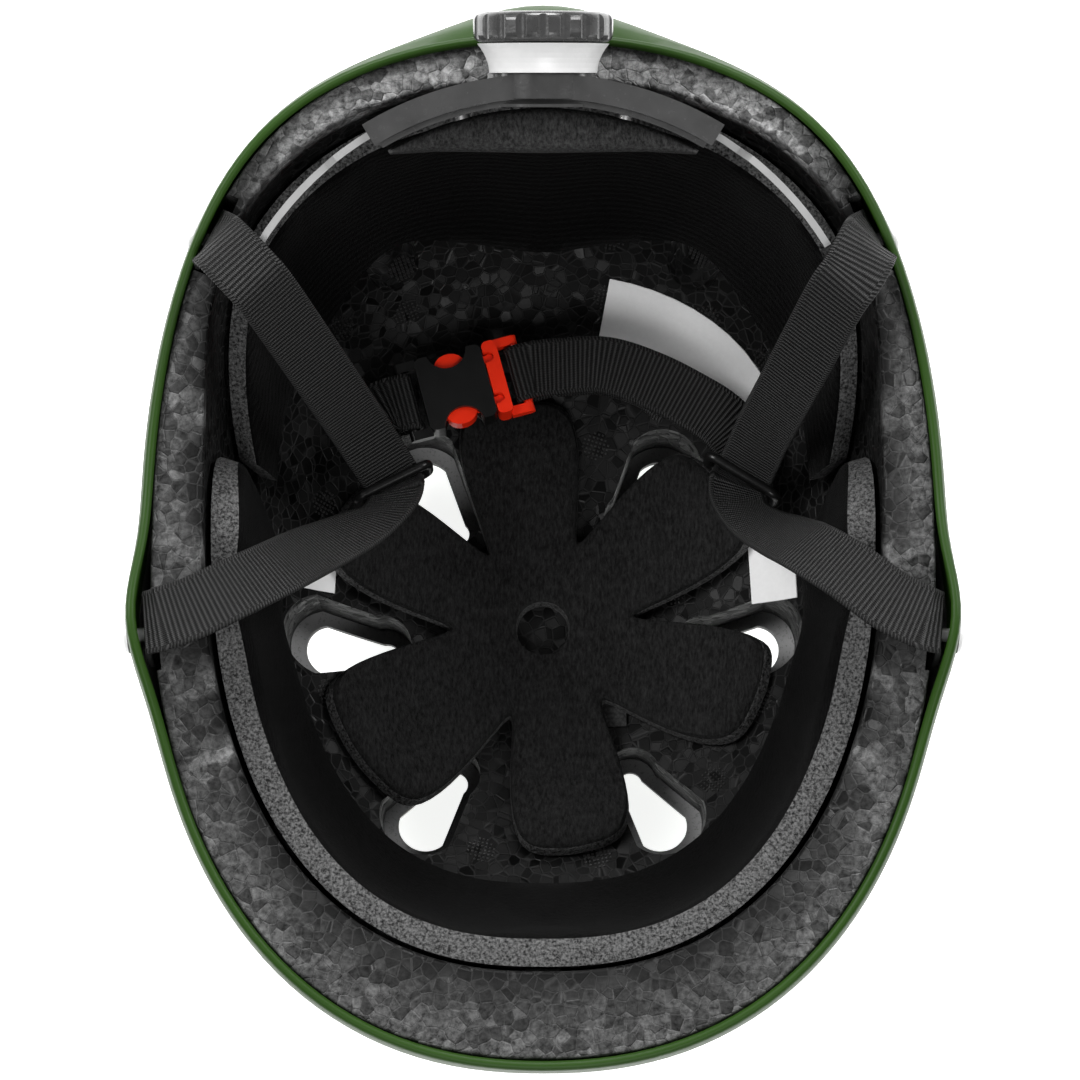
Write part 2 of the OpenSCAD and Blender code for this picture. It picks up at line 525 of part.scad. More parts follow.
module chin_strap_right() color([0.08, 0.08, 0.08]) strip(concat(
    [buckle_place(plug_bar_x + lap, -layer), buckle_place(plug_bar_x + lap / 2, -layer)],
    round_bar(place(buckle_place(plug_bar_x, 0)), buckle_yaw + 90, bar_r, 270, 90, 6),
    smooth(concat([buckle_place(plug_bar_x + 3, layer)], chin_right_path,
        [ring_place(ring_right, ring_right_angle, 3.5, ring_layer + 0.4),
            ring_place(ring_right, ring_right_angle, 1.5, ring_layer)]), 3),
    round_bar(ring_right - [0, 0, ring_drop], ring_right_angle, ring_r, 90, -90, 6),
    [ring_place(ring_right, ring_right_angle, 4, -ring_layer)]), web_w, web_t);
tail_gap = web_t + 0.6;
tail_end = fitted([37, 51.4, 62, 60]);
module chin_strap_tail() color([0.08, 0.08, 0.08]) strip(smooth([for (s = [for (i = [0:2]) chin_right_path[i], tail_end])
    s - [0, 0, tail_gap, 0]], 3), web_w, web_t);

// Dial cradle, drawn about the middle of its arc with the dial on the +Y side
yoke_y = liner_in_full(90) - 7.5;
yoke_z = nape_z + 13.2;
channel_half = 3;
channel_wall = 1.5;
run_play = 0.3;
pitch_r = tooth_module * pinion_teeth / 2;
rack_root = pitch_r + 1.3 * tooth_module;
rack_tip = pitch_r - 0.8 * tooth_module;
rack_back = rack_root + 2.8;
inside_half = rack_back + run_play;
yoke_half_h = inside_half + channel_wall;
boss_r = yoke_half_h + 2.4;
shaft_r = 1.8;
cover_t = 1.4;
cover_in = arc_r - channel_half - cover_t - 0.1;
skirt = 18;
post_angle = 15;
post_r = 2.2;
screw_r = 0.85;
collar_l = 7.2;
function cradle_place(p) = [p.x, yoke_y + (p.y - arc_r) * cos(cradle_lean) - p.z * sin(cradle_lean),
    yoke_z + (p.y - arc_r) * sin(cradle_lean) + p.z * cos(cradle_lean)];
module cradle() translate(cradle_place([0, 0, 0])) rotate([cradle_lean, 0, 0]) children();
// A band of the arc, its angles counted from the middle of the yoke towards the left
module arc_band(from_r, to_r, low, high, from, to) rotate(90 + from)
    rotate_extrude(angle = to - from, $fn = 180) translate([from_r, low]) square([to_r - from_r, high - low]);
module along_y(from_y, r, length, sides = 48) translate([0, from_y, 0]) rotate([-90, 0, 0])
    cylinder(r = r, h = length, $fn = sides);
module at_posts() for (s = [-1, 1]) rotate(s * post_angle) children();
module yoke_channel() color([0.13, 0.13, 0.13]) cradle() {
    difference() {
        union() {
            arc_band(arc_r - channel_half, arc_r + channel_half, -yoke_half_h, yoke_half_h,
                -yoke_half_angle, yoke_half_angle);
            along_y(arc_r - channel_half, boss_r, 2 * channel_half + 0.2);
        }
        arc_band(arc_r - channel_half - 5, arc_r + channel_half - channel_wall, -inside_half, inside_half,
            -yoke_half_angle - 1, yoke_half_angle + 1);
        along_y(0, shaft_r + 0.08, arc_r * 2);
    }
    at_posts() difference() {
        along_y(arc_r - channel_half, post_r, 2 * channel_half - 1);
        along_y(arc_r - channel_half - 1, screw_r, 2 * channel_half - 1.5, 24);
    }
}
module yoke_cover() color([0.1, 0.1, 0.1]) cradle() difference() {
    union() {
        arc_band(cover_in, cover_in + cover_t, -skirt, yoke_half_h - 1, -yoke_half_angle + 1, yoke_half_angle - 1);
        along_y(cover_in - 0.6, boss_r + 1, 0.75);
    }
    at_posts() along_y(cover_in - 5, screw_r + 0.2, 10, 24);
}
cover_screw_head_r = 2.1;
module cover_screws() color([0.6, 0.6, 0.6]) cradle() at_posts() {
    along_y(cover_in - 1, cover_screw_head_r, 0.95, 32);
    along_y(cover_in - 0.2, screw_r - 0.02, 5, 24);
}
nape_pad_low = -skirt;
nape_pad_high = -6;
nape_pad_t = 10;
nape_pad_angle = 30;
module nape_pad() color([0.08, 0.08, 0.08]) cradle() skin([for (i = [-10:10])
    let(a = i * nape_pad_angle / 10, t = 1 + nape_pad_t * cos(a / nape_pad_angle * 88), out = cover_in - 0.9)
    [for (p = [[0, 0], [0, 1], [0.45, 1], [0.85, 0.85], [1, 0.5], [0.85, 0.15], [0.45, 0]])
        let(r = out - t * p[0], z = nape_pad_low + (nape_pad_high - nape_pad_low) * p[1])
        [-r * sin(a), r * cos(a), z]]]);

// The hanger holds the cradle to a stud in the liner
hanger_w = 14;
hanger_low = stud_z - 6;
hanger_y = liner_in_r(90, hanger_low) - 0.4;
skirt_foot = cradle_place([0, cover_in, -skirt]);
module hanger_profile() polygon([[hanger_y, hanger_low], [hanger_y, skirt_foot.z - 0.3],
    [skirt_foot.y + 0.6, skirt_foot.z - 0.3], [skirt_foot.y + 0.6, skirt_foot.z - 0.3 - hanger_t],
    [hanger_y - hanger_t, skirt_foot.z - 0.3 - hanger_t], [hanger_y - hanger_t, hanger_low]]);
module cradle_hanger() color([0.12, 0.12, 0.12]) difference() {
    translate([-hanger_w / 2, 0, 0]) rotate([90, 0, 90]) linear_extrude(hanger_w) hanger_profile();
    translate([0, 0, stud_z]) along_y(hanger_y - 10, stud_r + 0.05, 20, 32);
}
module hanger_stud() color([0.12, 0.12, 0.12]) translate([0, 0, stud_z]) {
    along_y(hanger_y - hanger_t - stud_head_t, stud_r + 1.8, stud_head_t - 0.05, 32);
    along_y(hanger_y - hanger_t - 0.1, stud_r, stud_l + hanger_t, 32);
}

// Dial, its collar and its click spring
collar_y = arc_r + channel_half + 0.3;
collar_small_r = boss_r + 1.2;
collar_big_r = dial_r - 1;
click_teeth = 24;
click_r = 9.6;
collar_base = 1.5;
dial_y = collar_y + collar_l + run_play;
module dial_collar() color([0.92, 0.92, 0.92]) cradle() translate([0, collar_y, 0]) rotate([-90, 0, 0]) difference() {
    rotate_extrude($fn = 64) polygon(concat([[0, 0], [collar_small_r, 0]],
        [for (i = [1:6]) let(u = i / 6) [collar_small_r + (collar_big_r - collar_small_r) * u * u, collar_l * u]],
        [[0, collar_l]]));
    translate([0, 0, collar_base]) linear_extrude(collar_l) polygon([for (i = [0:2 * click_teeth - 1])
        let(r = click_r + (i % 2) * 1.1, a = 180 * i / click_teeth) [r * cos(a), r * sin(a)]]);
    translate([0, 0, -1]) cylinder(r = shaft_r + 0.08, h = 5, $fn = 48);
}
grips = 20;
dial_round = 2.2;
module fit_dial() color([0.16, 0.16, 0.17]) cradle() translate([0, dial_y, 0]) rotate([-90, 0, 0]) {
    difference() {
        rotate_extrude($fn = 72) polygon(concat([[0, 0]],
            [for (t = [-90:15:0]) [dial_r - dial_round + dial_round * cos(t), dial_round + dial_round * sin(t)]],
            [for (t = [0:15:90]) [dial_r - dial_round + dial_round * cos(t), dial_t - dial_round + dial_round * sin(t)]],
            [[dial_r - 5, dial_t - 0.8], [0, dial_t - 1.2]]));
        for (i = [0:grips - 1]) rotate(360 * i / grips) translate([dial_r + 1.6, 0, -1])
            cylinder(r = 2.2, h = dial_t + 2, $fn = 24);
    }
    difference() {
        translate([0, 0, -dial_y + arc_r - 1.4]) cylinder(r = shaft_r, h = dial_y - arc_r + 1.6);
        translate([0, 0, -dial_y + arc_r - 5]) cylinder(r = 0.9, h = 14, $fn = 24);
    }
    translate([0, 0, -4.6]) difference() {
        cylinder(r = 6.4, h = 4.8);
        translate([0, 0, -1]) cylinder(r = shaft_r - 0.1, h = 7);
    }
}
pinion_t = 2.6;
module dial_pinion() color([0.75, 0.75, 0.75]) cradle() translate([0, arc_r - pinion_t / 2, 0]) rotate([-90, 0, 0])
    difference() {
        union() {
            cylinder(r = pitch_r - 1.1 * tooth_module, h = pinion_t);
            for (i = [0:pinion_teeth - 1]) rotate(90 + 360 * i / pinion_teeth) linear_extrude(pinion_t)
                polygon([[pitch_r - 1.4 * tooth_module, -0.8 * tooth_module],
                    [pitch_r + 0.8 * tooth_module, -0.35 * tooth_module],
                    [pitch_r + 0.8 * tooth_module, 0.35 * tooth_module],
                    [pitch_r - 1.4 * tooth_module, 0.8 * tooth_module]]);
        }
        translate([0, 0, -1]) cylinder(r = shaft_r + 0.02, h = pinion_t + 2);
    }
module dial_screw() color([0.6, 0.6, 0.62]) cradle() {
    along_y(arc_r - 2.5, 2.6, 1, 32);
    along_y(arc_r - 1.6, 0.86, 9, 24);
}
spring_r = 7.6;
module click_spring() color([0.7, 0.7, 0.72]) cradle() translate([0, collar_y + collar_base + 0.6, 0])
    rotate([-90, 0, 0]) {
        rotate(20) rotate_extrude(angle = 320) translate([6.45, 0]) square([1, 3]);
        for (s = [-1, 1]) rotate(90 * s) translate([7.2, -0.5, 0]) cube([click_r - 7.5, 1, 3]);
    }

// Fit arms with racks above and below the pinion
rack_from = -8;
arm_wide_from = 36;
arm_to = 58;
arm_half_h = 4.5;
tooth_turn = 180 * tooth_module / arc_r;
rack_teeth = ceil(arm_travel / (PI * tooth_module)) + 5;
tooth_root_half = 0.8;
tooth_tip_half = 0.35;
// Stations of an arm: the angle on the arc, and its lower and upper edge there
arm_stations = concat([[rack_from, rack_root, rack_back]],
    [for (i = [-3:rack_teeth - 4]) for (p = [[-tooth_root_half, rack_root], [-tooth_tip_half, rack_tip],
        [tooth_tip_half, rack_tip], [tooth_root_half, rack_root]])
        [(i - 0.5) * tooth_turn + p[0] * tooth_turn / PI, p[1], rack_back]],
    [for (a = [arm_wide_from - 18:3:arm_wide_from]) [a, rack_root, rack_back]],
    [[arm_wide_from + 2, -arm_half_h, rack_back]],
    [for (a = [arm_wide_from + 4:3:arm_to]) [a, -arm_half_h, arm_half_h]]);
module fit_arm() skin([for (s = arm_stations) [for (p = [[-1, 1], [1, 1], [1, 2], [-1, 2]])
    let(r = arc_r + p[0] * arm_t / 2) [-r * sin(s[0]), r * cos(s[0]), s[p[1]]]]]);
module fit_arm_left() color([0.2, 0.2, 0.2]) cradle() fit_arm();
module fit_arm_right() color([0.2, 0.2, 0.2]) cradle() rotate([0, 180, 0]) fit_arm();

// The origin lies under the middle of the whole helmet, the bulge at the nape included
translate([0, -nape_bulge / 2, 0]) {
    outer_shell();
    foam_liner();
    brow_pad();
    wall_pad();
    crown_pad();
    nape_pad();
    hook_patches();
    blank_labels();
    side_strap_left();
    side_strap_right();
    chin_strap_left();
    chin_strap_right();
    chin_strap_tail();
    strap_ring_left();
    strap_ring_right();
    strap_rivets();
    rivet_washers();
    yoke_channel();
    yoke_cover();
    cover_screws();
    cradle_hanger();
    hanger_stud();
    dial_collar();
    fit_dial();
    dial_pinion();
    dial_screw();
    click_spring();
    fit_arm_left();
    fit_arm_right();
    buckle_socket();
    buckle_plug();
    buckle_prong_rear();
    buckle_prong_front();
}
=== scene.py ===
# %% [markdown]
# A multi-sport helmet, lying on its crown.
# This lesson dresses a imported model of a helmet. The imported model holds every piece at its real
# size and place, and it can move: a dial draws two arms in, and a buckle opens. The dressing adds
# what a camera sees, such as foam beads, brushed fabric, ribbed webbing and moulded plastic.

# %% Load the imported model
import math

import bmesh
import bpy
from mathutils import Matrix, Vector


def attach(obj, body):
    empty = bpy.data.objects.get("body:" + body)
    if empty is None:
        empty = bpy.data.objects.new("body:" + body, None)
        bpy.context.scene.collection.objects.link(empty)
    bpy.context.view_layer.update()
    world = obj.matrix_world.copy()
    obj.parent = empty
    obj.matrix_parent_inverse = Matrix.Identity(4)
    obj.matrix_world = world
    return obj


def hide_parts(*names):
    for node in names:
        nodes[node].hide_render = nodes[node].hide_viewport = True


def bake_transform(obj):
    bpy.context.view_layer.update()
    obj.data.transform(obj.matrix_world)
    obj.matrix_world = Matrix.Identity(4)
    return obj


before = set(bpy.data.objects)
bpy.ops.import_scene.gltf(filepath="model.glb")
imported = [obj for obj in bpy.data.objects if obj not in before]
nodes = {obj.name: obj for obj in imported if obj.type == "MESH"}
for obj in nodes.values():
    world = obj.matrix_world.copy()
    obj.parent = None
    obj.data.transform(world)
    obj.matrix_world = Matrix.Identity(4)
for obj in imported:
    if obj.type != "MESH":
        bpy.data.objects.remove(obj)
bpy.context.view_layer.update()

MM = 0.001

# %% [markdown]
# The picture looks almost straight into the head opening, from a little to the front of it. A long
# lens about 80 cm away gives the weak perspective of a shop photograph, so the deep crown looks
# only a little smaller than the rim.

# %% Camera
RIM_CENTRE = Vector((-0.0008, -0.0056, 0.128))
CAMERA_RISE = 78
CAMERA_FAR = 0.8
camera = bpy.data.objects.new("camera", bpy.data.cameras.new("camera"))
bpy.context.scene.collection.objects.link(camera)
rise = math.radians(CAMERA_RISE)
toward = Vector((0, -math.cos(rise), math.sin(rise)))
camera.location = RIM_CENTRE + toward * CAMERA_FAR
camera.rotation_euler = toward.to_track_quat("Z", "Y").to_euler()
camera.data.lens = 106
camera.data.sensor_width = 36
bpy.context.scene.camera = camera
print("camera at", [round(c, 3) for c in camera.location])


# %% [markdown]
# A material is a sum of patterns, so it reads best as a sum. The maths nodes could be made and
# linked one at a time, but a long chain of them is hard to follow. `Signal` wraps one socket of a
# node instead, and Python's own signs then add the maths nodes.

# %% Signals
class Signal:
    def __init__(self, finish, socket):
        self.finish = finish
        self.socket = socket

    def maths(self, operation, *values):
        return self.finish.node("ShaderNodeMath", {"operation": operation}, dict(enumerate(values)))

    def __add__(self, other):
        return self.maths("ADD", self, other)

    def __radd__(self, other):
        return self.maths("ADD", other, self)

    def __sub__(self, other):
        return self.maths("SUBTRACT", self, other)

    def __rsub__(self, other):
        return self.maths("SUBTRACT", other, self)

    def __mul__(self, other):
        return self.maths("MULTIPLY", self, other)

    def __rmul__(self, other):
        return self.maths("MULTIPLY", other, self)

    def sine(self):
        return self.maths("SINE", self)

    def absolute(self):
        return self.maths("ABSOLUTE", self)

    def over(self, low, high):
        """0 below low, 1 above high, and a straight rise between them."""
        settings = {"clamp": True}
        inputs = {"Value": self, "From Min": low, "From Max": high}
        return self.finish.node("ShaderNodeMapRange", settings, inputs)


print("signs that add nodes: + - *")

# %% [markdown]
# `Finish` wraps a material. Its method `node` adds any node: its type, its settings, and then the
# values or links of its sockets. The others are short names for the few patterns that most of
# the finishes share, such as noise and cells.

# %% Finishes
class Finish:
    def __init__(self, name, **values):
        self.material = bpy.data.materials.new(name)
        self.material.use_nodes = True
        self.tree = self.material.node_tree
        self.shader = self.tree.nodes["Principled BSDF"]
        for key, value in values.items():
            self.set(key.replace("_", " "), value)

    def set(self, socket, value):
        target = self.shader.inputs[socket]
        if isinstance(value, Signal):
            self.tree.links.new(value.socket, target)
        else:
            target.default_value = value

    def node(self, kind, settings=(), inputs=(), output=0):
        made = self.tree.nodes.new(kind)
        for key, value in dict(settings).items():
            setattr(made, key, value)
        for key, value in dict(inputs).items():
            if isinstance(value, Signal):
                self.tree.links.new(value.socket, made.inputs[key])
            else:
                made.inputs[key].default_value = value
        return Signal(self, made.outputs[output])

    def place(self):
        return self.node("ShaderNodeTexCoord", output="Object")

    def strip(self, output):
        """One coordinate of a strap's own map: X runs across it and Y along it, in millimetres."""
        mapped = self.node("ShaderNodeUVMap", {"uv_map": "strap"})
        return self.node("ShaderNodeSeparateXYZ", {}, {0: mapped}, output)

    def noise(self, size, detail=3.0, rough=0.55, where=None):
        inputs = {"Vector": where or self.place(), "Scale": 1 / size}
        inputs |= {"Detail": detail, "Roughness": rough}
        return self.node("ShaderNodeTexNoise", {}, inputs)

    def cells(self, size, output, feature="F1"):
        inputs = {"Vector": self.place(), "Scale": 1 / size}
        return self.node("ShaderNodeTexVoronoi", {"feature": feature}, inputs, output)

    def vectors(self, operation, first, second, output=0):
        return self.node("ShaderNodeVectorMath", {"operation": operation}, {0: first, 1: second}, output)

    def mix(self, share, first, second):
        return self.node("ShaderNodeMix", {"data_type": "RGBA"}, {0: share, 6: first, 7: second}, 2)

    def bump(self, height, depth, strength):
        inputs = {"Height": height, "Distance": depth, "Strength": strength}
        return self.node("ShaderNodeBump", {}, inputs)


def shade(level):
    """A grey, from black at 0 to white at 1."""
    return (level, level, level, 1.0)


print("shader tools ready")

# %% [markdown]
# The helmet lies on a plain white table under soft light. The table glows a little, so that it
# still looks white through the vents, where the helmet keeps the lamps' light away. Four large
# lamps round the helmet keep the shadows in the bowl soft from every side.

# %% Floor and lights
floor_mesh = bpy.data.meshes.new("floor")
FLOOR_HALF, FLOOR_LEVEL = 3.0, -0.0006
SQUARE = ((-1, -1), (1, -1), (1, 1), (-1, 1))
floor_corners = [(x * FLOOR_HALF, y * FLOOR_HALF, FLOOR_LEVEL) for x, y in SQUARE]
floor_mesh.from_pydata(floor_corners, [], [(0, 1, 2, 3)])
floor = bpy.data.objects.new("floor", floor_mesh)
bpy.context.scene.collection.objects.link(floor)
floor_finish = Finish("floor", Base_Color=shade(0.85), Roughness=0.8)
floor_finish.set("Emission Color", shade(1.0))
floor_finish.set("Emission Strength", 0.85)
floor_mesh.materials.append(floor_finish.material)

world = bpy.data.worlds.new("studio")
world.use_nodes = True
world.node_tree.nodes["Background"].inputs["Color"].default_value = shade(0.9)
world.node_tree.nodes["Background"].inputs["Strength"].default_value = 0.16
bpy.context.scene.world = world


def soft_lamp(name, where, size, power):
    data = bpy.data.lights.new(name, "AREA")
    data.size = size
    data.energy = power
    lamp = bpy.data.objects.new(name, data)
    lamp.location = where
    lamp.rotation_euler = (Vector(where) - RIM_CENTRE).to_track_quat("Z", "Y").to_euler()
    bpy.context.scene.collection.objects.link(lamp)


soft_lamp("lamp_left", (-0.75, 0.25, 0.9), 0.5, 11)
soft_lamp("lamp_right", (0.8, 0.35, 0.8), 0.5, 9)
soft_lamp("lamp_front", (0.05, -0.8, 1.0), 0.6, 7)
soft_lamp("lamp_behind", (0.0, 0.95, 0.75), 0.5, 12)
bpy.context.scene.view_settings.view_transform = "Standard"

# %% [markdown]
# The whole helmet follows one outline seen from above and one curve from rim to crown. Both are
# superellipses: rounder than a box and fuller than an oval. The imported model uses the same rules,
# so a finer mesh made from them lies exactly on it. These are its driving sizes, in millimetres
# and degrees, and what varies round the helmet is a bell curve about one side of it.

# %% Driving sizes
HALF_WIDE, HALF_LONG, SHELL_WALL = 103, 133, 2.5
BROW_EDGE, NAPE_EDGE, NAPE_BULGE = 108, 144, 7.2
OUTLINE_POWER, PROFILE_POWER = 2.3, 2.35
NAPE_SIDE, NAPE_SPREAD = 90, 11
EDGE_WAVES = ((11, 52, 18), (8, -13, 11), (-3, 18, 16))
WIDEST_BELOW_EDGE, WIDEST_TILT = 14, 3
CURL_AT_EAR, CURL_AT_NAPE = 1.5, 6
FLARE, FLARE_SIDE, FLARE_SPREAD, FLARE_FOOT = 3.6, -12, 9.5, 45
FOAM_OUT = SHELL_WALL + 0.45
FOAM_FOOT = FOAM_OUT + 22
FOAM_AT_EAR, FOAM_AT_NAPE, FOAM_AT_BROW, FOAM_THINNER = 14, 15, 22, 6
THIN_SIDE, THIN_SPREAD = 45, 22
FOAM_WAVES, FOAM_BELOW = 0.75, 2.5


def sin(angle):
    return math.sin(math.radians(angle))


def cos(angle):
    return math.cos(math.radians(angle))


def bell(x, centre, width):
    return math.exp(-(((x - centre) / width) ** 2))


def side_of(a):
    """The angle from the ears' line: -90 at the brow, 0 at an ear and 90 at the nape."""
    return math.degrees(math.asin(max(-1.0, min(1.0, sin(a)))))


print("shell in mm:", 2 * HALF_LONG, "long and", 2 * HALF_WIDE, "wide")

# %% [markdown]
# The outline is the shell's edge seen from above. The edge's height climbs from the brow to the
# nape, and it waves at the sides: up at the temple, down over the ear and up behind it. A curve
# through chosen points could draw that too, but three bell curves can each be changed alone.

# %% Outline and edge
def tail(a):
    """How far the shell bulges out below the nape edge."""
    return NAPE_BULGE * bell(side_of(a), NAPE_SIDE, NAPE_SPREAD)


def outline(a):
    wide = abs(cos(a)) / HALF_WIDE
    long = abs(sin(a)) / HALF_LONG
    return tail(a) + (wide**OUTLINE_POWER + long**OUTLINE_POWER) ** (-1 / OUTLINE_POWER)


def edge_base(a):
    return BROW_EDGE + (NAPE_EDGE - BROW_EDGE) * (1 + sin(a)) / 2


def edge_waves(a):
    """The edge's waves, each with a height, the side that it is on and its spread in degrees."""
    return sum(high * bell(side_of(a), side, spread) for high, side, spread in EDGE_WAVES)


def shell_edge(a):
    return edge_base(a) + edge_waves(a)


def widest(a):
    """The height at which the shell is widest."""
    return edge_base(a) - WIDEST_BELOW_EDGE - WIDEST_TILT * sin(a)


def foam_edge(a):
    return edge_base(a) + edge_waves(a) * FOAM_WAVES - FOAM_BELOW


print("edge in mm at the brow, an ear and the nape:", [round(shell_edge(a)) for a in (270, 0, 90)])

# %% [markdown]
# Now the walls: how thick the foam is, how each bowl closes towards the crown, how the shell's
# edge curls in and how it flares over the temples. All give a radius for an angle and a height.

# %% Walls
def foam_thick(a):
    end = FOAM_AT_NAPE if sin(a) > 0 else FOAM_AT_BROW
    whole = tail(a) + FOAM_AT_EAR * cos(a) ** 2 + end * sin(a) ** 2
    return whole - FOAM_THINNER * bell(side_of(a), THIN_SIDE, THIN_SPREAD)


def fullness(a, z, foot):
    """The share of its widest radius that a bowl has at a height: 1 at the rim and 0 at its foot."""
    depth = max(0.0, widest(a) - z) / (widest(a) - foot)
    return max(0.0, 1 - depth**PROFILE_POWER) ** (1 / PROFILE_POWER)


def curl_in(a, z):
    whole = CURL_AT_EAR * abs(cos(a)) + CURL_AT_NAPE * max(0.0, sin(a)) ** 3 + tail(a)
    return whole * (max(0.0, z - widest(a)) / (shell_edge(a) - widest(a))) ** 2


def flare_out(a, z):
    share = min(1.0, max(0.0, (z - FLARE_FOOT) / (BROW_EDGE - FLARE_FOOT)))
    return FLARE * bell(side_of(a), FLARE_SIDE, FLARE_SPREAD) * share**1.5


def shell_radius(a, z, inset):
    return (outline(a) - inset) * fullness(a, z, inset) - curl_in(a, z) + flare_out(a, z)


def bowl_reach(a):
    return outline(a) - FOAM_OUT - foam_thick(a)


def bowl_radius(a, z):
    return bowl_reach(a) * fullness(a, z, FOAM_FOOT)


def bowl_lean(a, z):
    """How far the foam's bowl leans outward from upright at a height, in degrees."""
    if z >= widest(a):
        return 0.0
    deep = widest(a) - FOAM_FOOT
    rise_part = ((widest(a) - z) / deep) ** (PROFILE_POWER - 1) / deep
    out_part = fullness(a, z, FOAM_FOOT) ** (PROFILE_POWER - 1) / bowl_reach(a)
    return math.degrees(math.atan2(rise_part, out_part))


def polar(a, r, z):
    return Vector((r * cos(a), r * sin(a), z))


print("outline at brow and ear:", round(outline(270)), round(outline(0)))

# %% [markdown]
# A closed skin is a list of rings with the same number of points, joined by four-cornered faces.
# One helper makes pads and straps from such rings. Every point gets the same small shift, `SEAT`,
# because the formulas are centred on the outline, and the helmet on the middle of its whole length.

# %% Skins
HELMET = "helmet"
SEAT = Vector((0, -NAPE_BULGE / 2, 0))


def mesh_piece(name, points, faces, finishes, picks=None, body=HELMET):
    mesh = bpy.data.meshes.new(name)
    mesh.from_pydata([(Vector(p) + SEAT) * MM for p in points], [], faces)
    for finish in finishes:
        mesh.materials.append(finish.material)
    if picks:
        for face, pick in zip(mesh.polygons, picks):
            face.material_index = pick
    mesh.shade_smooth()
    piece = bpy.data.objects.new(name, mesh)
    bpy.context.scene.collection.objects.link(piece)
    if body:
        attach(piece, body)
    return piece


def skin_faces(rings, count, joined):
    faces = []
    for i in range(rings if joined else rings - 1):
        here, there = i * count, (i + 1) % rings * count
        for j in range(count):
            step = (j + 1) % count
            faces.append((here + j, here + step, there + step, there + j))
    return faces


def skin(name, rings, finishes, joined=False, pick=None):
    count = len(rings[0])
    faces = skin_faces(len(rings), count, joined)
    picks = [pick(k % count) for k in range(len(faces))] if pick else None
    if not joined:
        faces.append(tuple(reversed(range(count))))
        faces.append(tuple(range((len(rings) - 1) * count, len(rings) * count)))
        if picks:
            picks += [picks[0], picks[0]]
    piece = mesh_piece(name, [p for ring in rings for p in ring], faces, finishes, picks)
    face_outward(piece)
    return piece


def face_outward(piece):
    shape = bmesh.new()
    shape.from_mesh(piece.data)
    bmesh.ops.recalc_face_normals(shape, faces=shape.faces)
    shape.to_mesh(piece.data)
    shape.free()


def applied(piece):
    """Turns a piece's modifiers into its mesh."""
    graph = bpy.context.evaluated_depsgraph_get()
    made = bpy.data.meshes.new_from_object(piece.evaluated_get(graph))
    piece.modifiers.clear()
    piece.data = made


print("skin tools ready")

# %% [markdown]
# Moulded bead foam is made of beads pressed together until they are flat-sided. A cell pattern
# gives each bead its own grey, and the distance to the nearest cell edge gives the pale seams
# between beads. Each bead's flat face also leans its own way, so under one lamp some beads shine
# and others stay black. Parts of the rim are painted pale, as a value kept on the mesh itself at
# each point: a painted highlight along the outer edge and at the ends of the rim's steps, and
# round the nape, where hands and tables rub the rim, pale cracked foam with a painted highlight.

# %% Bead foam
BEAD = 0.0030
BEAD_RELIEF = 0.00035
BEAD_LEAN = 0.55


def bead_foam(name):
    finish = Finish(name, Specular_IOR_Level=0.15)
    bead = finish.cells(BEAD, "Color")
    tone = finish.node("ShaderNodeSeparateColor", {}, {0: bead}, 0)
    gloss = finish.node("ShaderNodeSeparateColor", {}, {0: bead}, 1)
    pale = finish.node("ShaderNodeSeparateColor", {}, {0: bead}, 2).over(0.72, 1.0)
    seam = finish.cells(BEAD, "Distance", "DISTANCE_TO_EDGE")
    inside = seam.over(0.02, 0.09)
    fine = finish.noise(0.0006, 2)
    dark = finish.mix(tone, shade(0.0005), shade(0.006))
    grey = finish.mix(pale * 0.8, dark, shade(0.010))
    foam_colour = finish.mix((1 - inside) * 0.6, grey, shade(0.026))
    # The rim's pale marks: a painted highlight on its outer edge and bevels, and at the nape abraded,
    # cracked foam with a painted highlight.
    rim_highlight_and_scuffs = finish.node("ShaderNodeAttribute", {"attribute_name": "rim_highlight_and_scuffs"}, {}, 2)
    scuff_and_highlight_colour = finish.mix(finish.noise(0.0015, 3, 0.7).over(0.3, 0.75), shade(0.03), shade(0.42))
    foam_colour = finish.mix(rim_highlight_and_scuffs * (0.3 + 0.7 * tone), foam_colour, scuff_and_highlight_colour)
    finish.set("Base Color", foam_colour)
    finish.set("Roughness", 0.27 + 0.3 * gloss + 0.14 * fine)
    middle = finish.cells(BEAD, "Position")
    from_middle = finish.vectors("SUBTRACT", finish.place(), middle)
    tilt = finish.vectors("SUBTRACT", bead, (0.5, 0.5, 0.5))
    lean = finish.vectors("DOT_PRODUCT", from_middle, tilt, 1)
    height = inside * 0.5 + tone * 0.3 + fine * 0.12 + lean * (BEAD_LEAN / BEAD_RELIEF)
    finish.set("Normal", finish.bump(height, BEAD_RELIEF, 0.85))
    return finish


foam_finish = bead_foam("bead_foam")
print("beads of", BEAD / MM, "mm")

# %% [markdown]
# The shell is moulded in one piece. Outside it is smooth and green with a very fine orange peel.
# Inside, where the foam leaves it bare round the vents, it is raw pale plastic with speckles, and
# the vents' cut walls are painted almost black, as painted shade for the shade inside the holes.
# Three materials on one mesh do that, because the sides of the bowl and the cuts are told apart
# by their faces, and no painted mask is needed.

# %% Shell plastics
DEEP_GREEN, BRIGHT_GREEN = (0.012, 0.037, 0.003, 1), (0.020, 0.054, 0.006, 1)
green_finish = Finish("shell_green", Specular_IOR_Level=0.16)
tint = green_finish.noise(0.03, 2)
green_finish.set("Base Color", green_finish.mix(tint, DEEP_GREEN, BRIGHT_GREEN))
green_finish.set("Roughness", 0.4 + 0.1 * green_finish.noise(0.004))
green_finish.set("Normal", green_finish.bump(green_finish.noise(0.0016, 2), 0.00004, 0.6))

